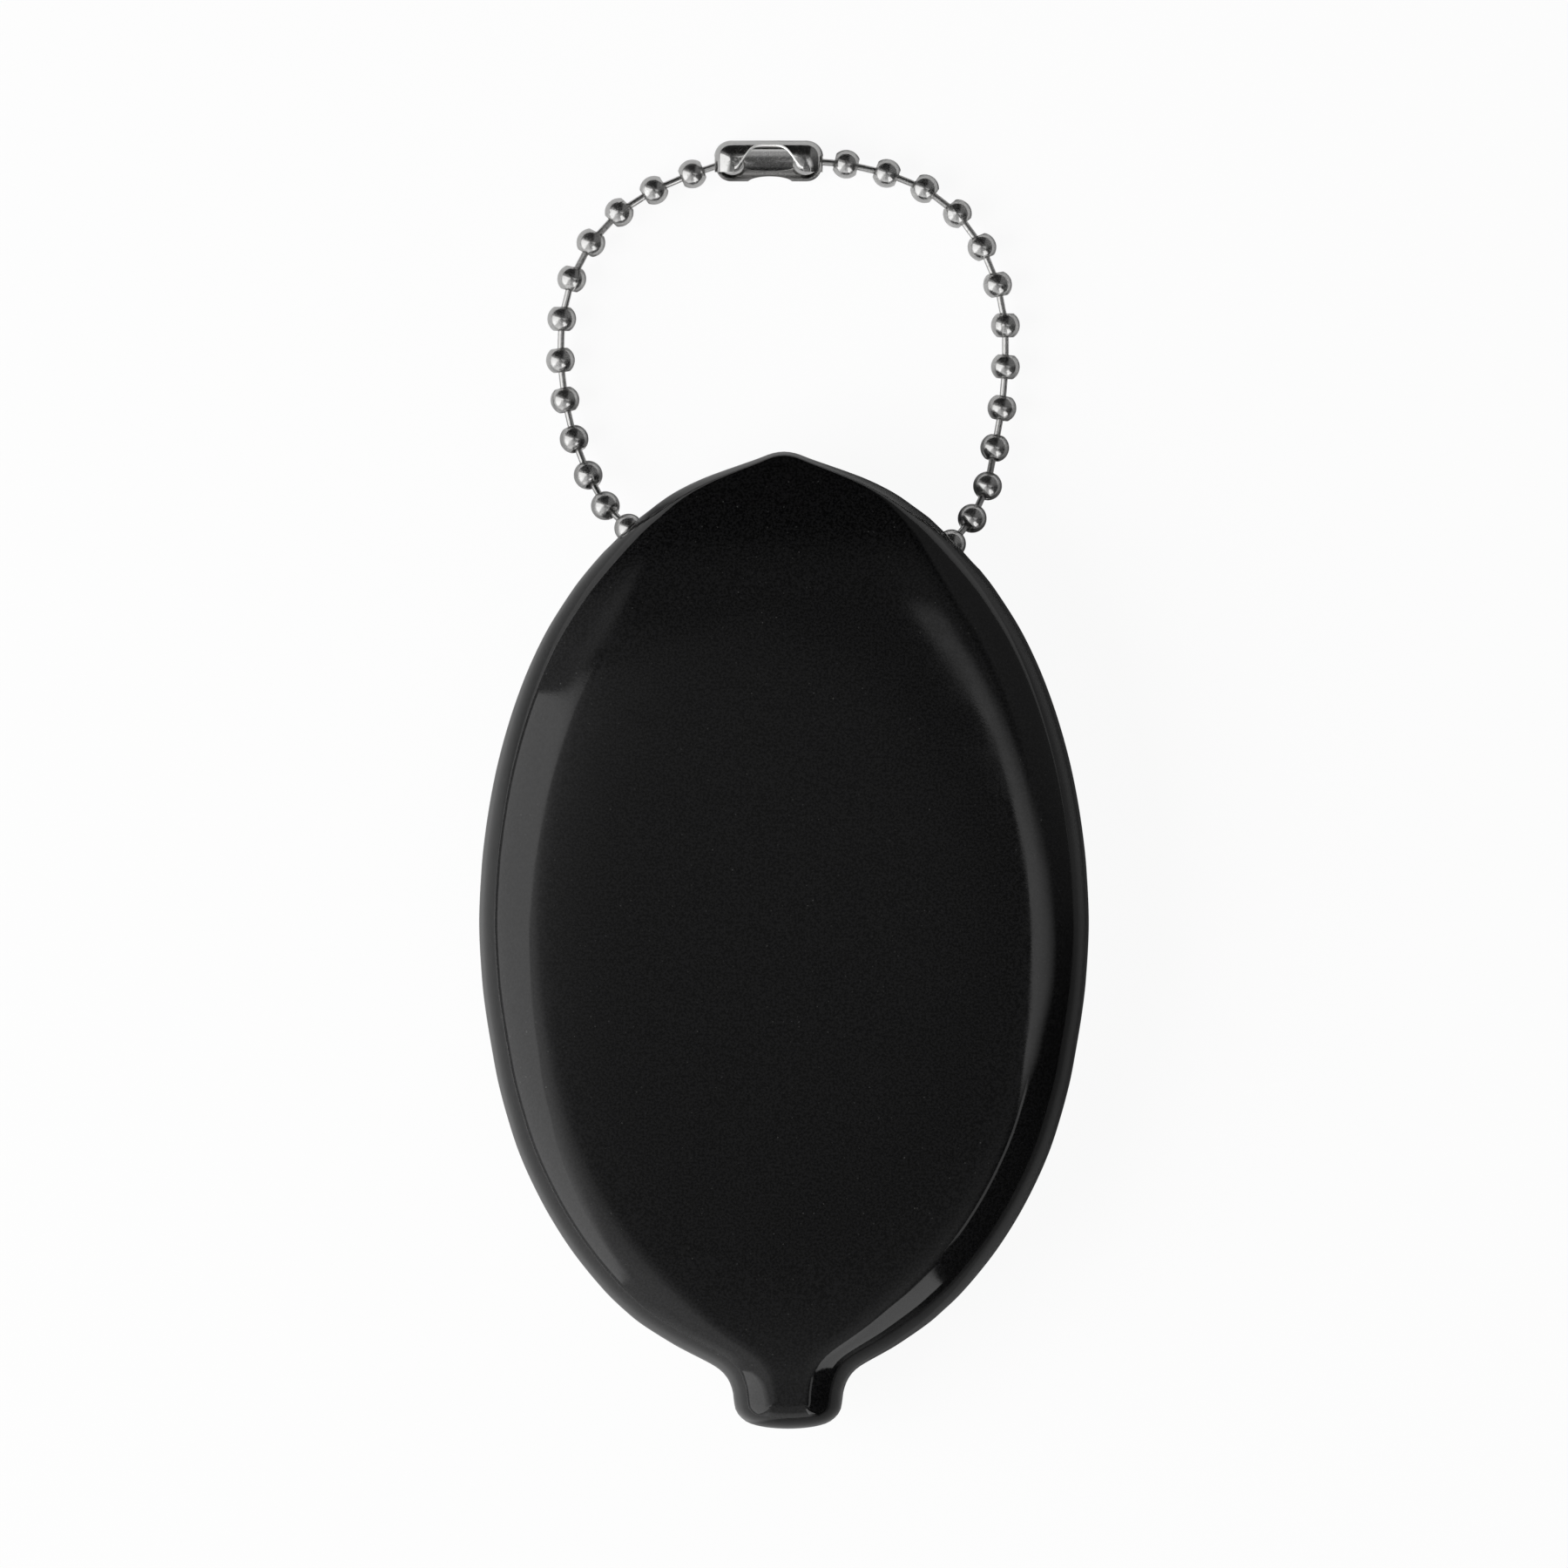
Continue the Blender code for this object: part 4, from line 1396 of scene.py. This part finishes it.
@dataclass
class Studio:
    """The pale table, the soft light and the camera."""

    camera_height: float = 1.5
    frame_width: float = PICTURE_PIXELS * ACROSS_PIXEL
    frame_height_on_object: float = 0.0033
    sensor: float = 36.0
    table_size: float = 6.0
    table_height: float = -0.0001
    white: tuple = (1.0, 1.0, 1.0, 1.0)
    sheet: tuple = (0.66, 0.66, 0.66, 1.0)
    # Colour of the painted shadow that the object's surfaces mirror on the table.
    painted_shadow_colour: tuple = (0.02, 0.02, 0.02, 1.0)
    fill: float = 0.05
    lamps: tuple = (Softbox("left softbox", 195, 60, 1.0, (0.9, 0.8), 9.0),
                    Softbox("front softbox", 300, 50, 1.0, (0.5, 0.62), 0.8))

    def camera(self) -> None:
        """Stands the camera straight over the object."""
        made = Bench.new(bpy.ops.object.camera_add, "Camera", rotation=(0, 0, 0),
                         location=(0, 0, self.camera_height))
        made.data.sensor_width = self.sensor
        reach = self.camera_height - self.frame_height_on_object
        made.data.lens = self.sensor * reach / self.frame_width
        bpy.context.scene.camera = made

    def painted_shadow(self, wires: Wires, glossy: Value) -> Value:
        """Where a painted shadow darkens the table's mirror image: right of the object, at its nub
        and close round it.

        Args:
            wires: the table's nodes.
            glossy: 1 for a mirrored ray.

        Returns:
            The share of the dark card.
        """
        place = wires.add("SeparateXYZ", {0: wires.add("TexCoord").out("Object")})
        x, y = place.out("X"), place.out("Y")
        oval = wires.add("CombineXYZ", {0: x / 0.0253, 1: (y + 0.0108) / 0.0385})
        ring = wires.add("VectorMath", {0: oval}, operation="LENGTH").out("Value")
        nub = y.grade(-0.053, -0.049, 0.62, 0.0) * x.grade(-0.006, -0.003)
        right = (x.grade(0.0, 0.010) * y.grade(-0.030, 0.0, 0.48, 0.30)
                 + x.grade(0.028, 0.060, 0.0, 0.30))
        shadow_share = nub.most(right).most(y.grade(0.0, 0.020, 0.0, 0.38))
        shadow_share = shadow_share.most(ring.grade(1.04, 1.26, 0.50, 0.0))
        return shadow_share * y.grade(0.029, 0.035, 1.0, 0.0) * glossy

    def table(self) -> None:
        """Lays the table, white to the eye but with the object's shadow, and clear from below."""
        made = Bench.new(bpy.ops.mesh.primitive_plane_add, "table", size=self.table_size,
                         location=(0, 0, self.table_height))
        white = bpy.data.materials.new("white table")
        wires = Wires.inside(white, empty=True)
        path = wires.add("LightPath")
        glossy = path.out("Is Glossy Ray")
        seen = (path.out("Is Camera Ray") * 0.94 + glossy * 0.03
                + path.out("Is Transmission Ray") * 0.93).clamped()
        mixed = wires.add("MixShader", {
            0: seen, 1: wires.add("BsdfDiffuse", {"Color": self.sheet}),
            2: wires.add("Emission", {"Color": self.white, "Strength": 1.0})})
        # Mirrored rays see the painted shadow where it lies, in place of the object's real shadow.
        mixed = wires.add("MixShader", {0: self.painted_shadow(wires, glossy), 1: mixed,
                                        2: wires.add("BsdfDiffuse", {"Color": self.painted_shadow_colour})})
        near = path.out("Ray Length").grade(0.0003, 0.0010, 1.0, 0.0)
        clear = wires.add("NewGeometry").out("Backfacing").most(near)
        whole = wires.add("MixShader", {0: clear, 1: mixed, 2: wires.add("BsdfTransparent")})
        wires.add("OutputMaterial", {"Surface": whole}, is_active_output=True)
        made.data.materials.append(white)

    def room(self) -> None:
        """The room round the table: white to the eye, soft to the object."""
        world = bpy.data.worlds.new("studio room")
        bpy.context.scene.world = world
        wires = Wires.inside(world, empty=True)
        path = wires.add("LightPath")
        way = wires.add("SeparateXYZ", {0: wires.add("TexCoord").out("Generated")})
        x, y, z = way.out("X"), way.out("Y"), way.out("Z")
        up, front = z.most(0.02), y * -1.0
        lights = Mirrored(wires, z, x / up, y / up)
        mirror = front.grade(-0.42, -0.14, 0.0, 0.055) + front.grade(-0.04, 0.45, 0.0, 0.33)
        mirror = mirror * x.grade(0.24, 0.42, 1.0, 0.05) + front.grade(0.70, 0.95, 0.015, 0.45)
        upper_left = (y + x * 0.49).grade(0.0, 0.30, 0.28, 0.0) * x.grade(-0.25, -0.08, 1.0, 0.0)
        right = y.grade(-0.20, 0.30, 0.0, 0.16) * x.grade(0.30, 0.50)
        below = z.grade(-1.0, -0.02, 0.50, 0.12) * z.grade(-0.02, 0.0, 1.0, 0.0)
        above = z.grade(0.02, 0.05)
        panel = lights.panel((0.50, -0.275), -111, (0.13, 0.05), 0.80)
        for part in (upper_left, right, below, lights.left_box(), lights.right_strip() * above,
                     lights.front_box() * above, panel * above):
            mirror = mirror + part
        room, fill, eye = (wires.add("Background", {"Color": self.white, "Strength": strength})
                           for strength in (mirror, self.fill, 1.0))
        lit = wires.add("MixShader", {0: path.out("Is Diffuse Ray"), 1: room, 2: fill})
        lit = wires.add("MixShader", {0: path.out("Is Camera Ray"), 1: lit, 2: eye})
        wires.add("OutputWorld", {"Surface": lit})

    def build(self) -> None:
        """Builds the studio."""
        bpy.context.scene.view_settings.view_transform = "Standard"
        self.camera()
        self.table()
        self.room()
        for lamp in self.lamps:
            lamp.build()


def main() -> None:
    """Builds the studio, the chain, the pouch and its clip."""
    logging.basicConfig(level=logging.INFO, format="%(message)s")
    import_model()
    effects = Effects()
    vinyl = VinylFinish().build(effects)
    bead_nickel = NickelFinish("bead nickel plate").build(effects)
    link_nickel = NickelFinish("link nickel wire", polish=0.10, scuff_turn=0.2).build(effects)
    # Full edge lightening on the clip, chiefly a painted highlight along its edges.
    clip_nickel = NickelFinish("clip nickel sheet", polish=0.04, dull=0.16, scuff_turn=0.0,
                               haze_level=0.41, wear_and_highlight=1.0).build(effects)
    # The clip's edge finish is a painted highlight: near-white and mostly diffuse, standing in for
    # the bright reflections along its edges.
    clip_edge_highlight = NickelFinish("clip edge painted highlight", bright=(0.92, 0.915, 0.90, 1.0),
                             tarnish=(0.55, 0.54, 0.52, 1.0), polish=0.22, dull=0.40,
                             haze_level=0.35, metal=0.25).build(effects)
    Studio().build()
    chain = BallChain(bead_nickel, link_nickel)
    chain.build()
    left, right = chain.places()
    Pouch(vinyl).build(left[0], right[0])
    Connector(clip_nickel, clip_edge_highlight).build()


if __name__ == "__main__":
    main()
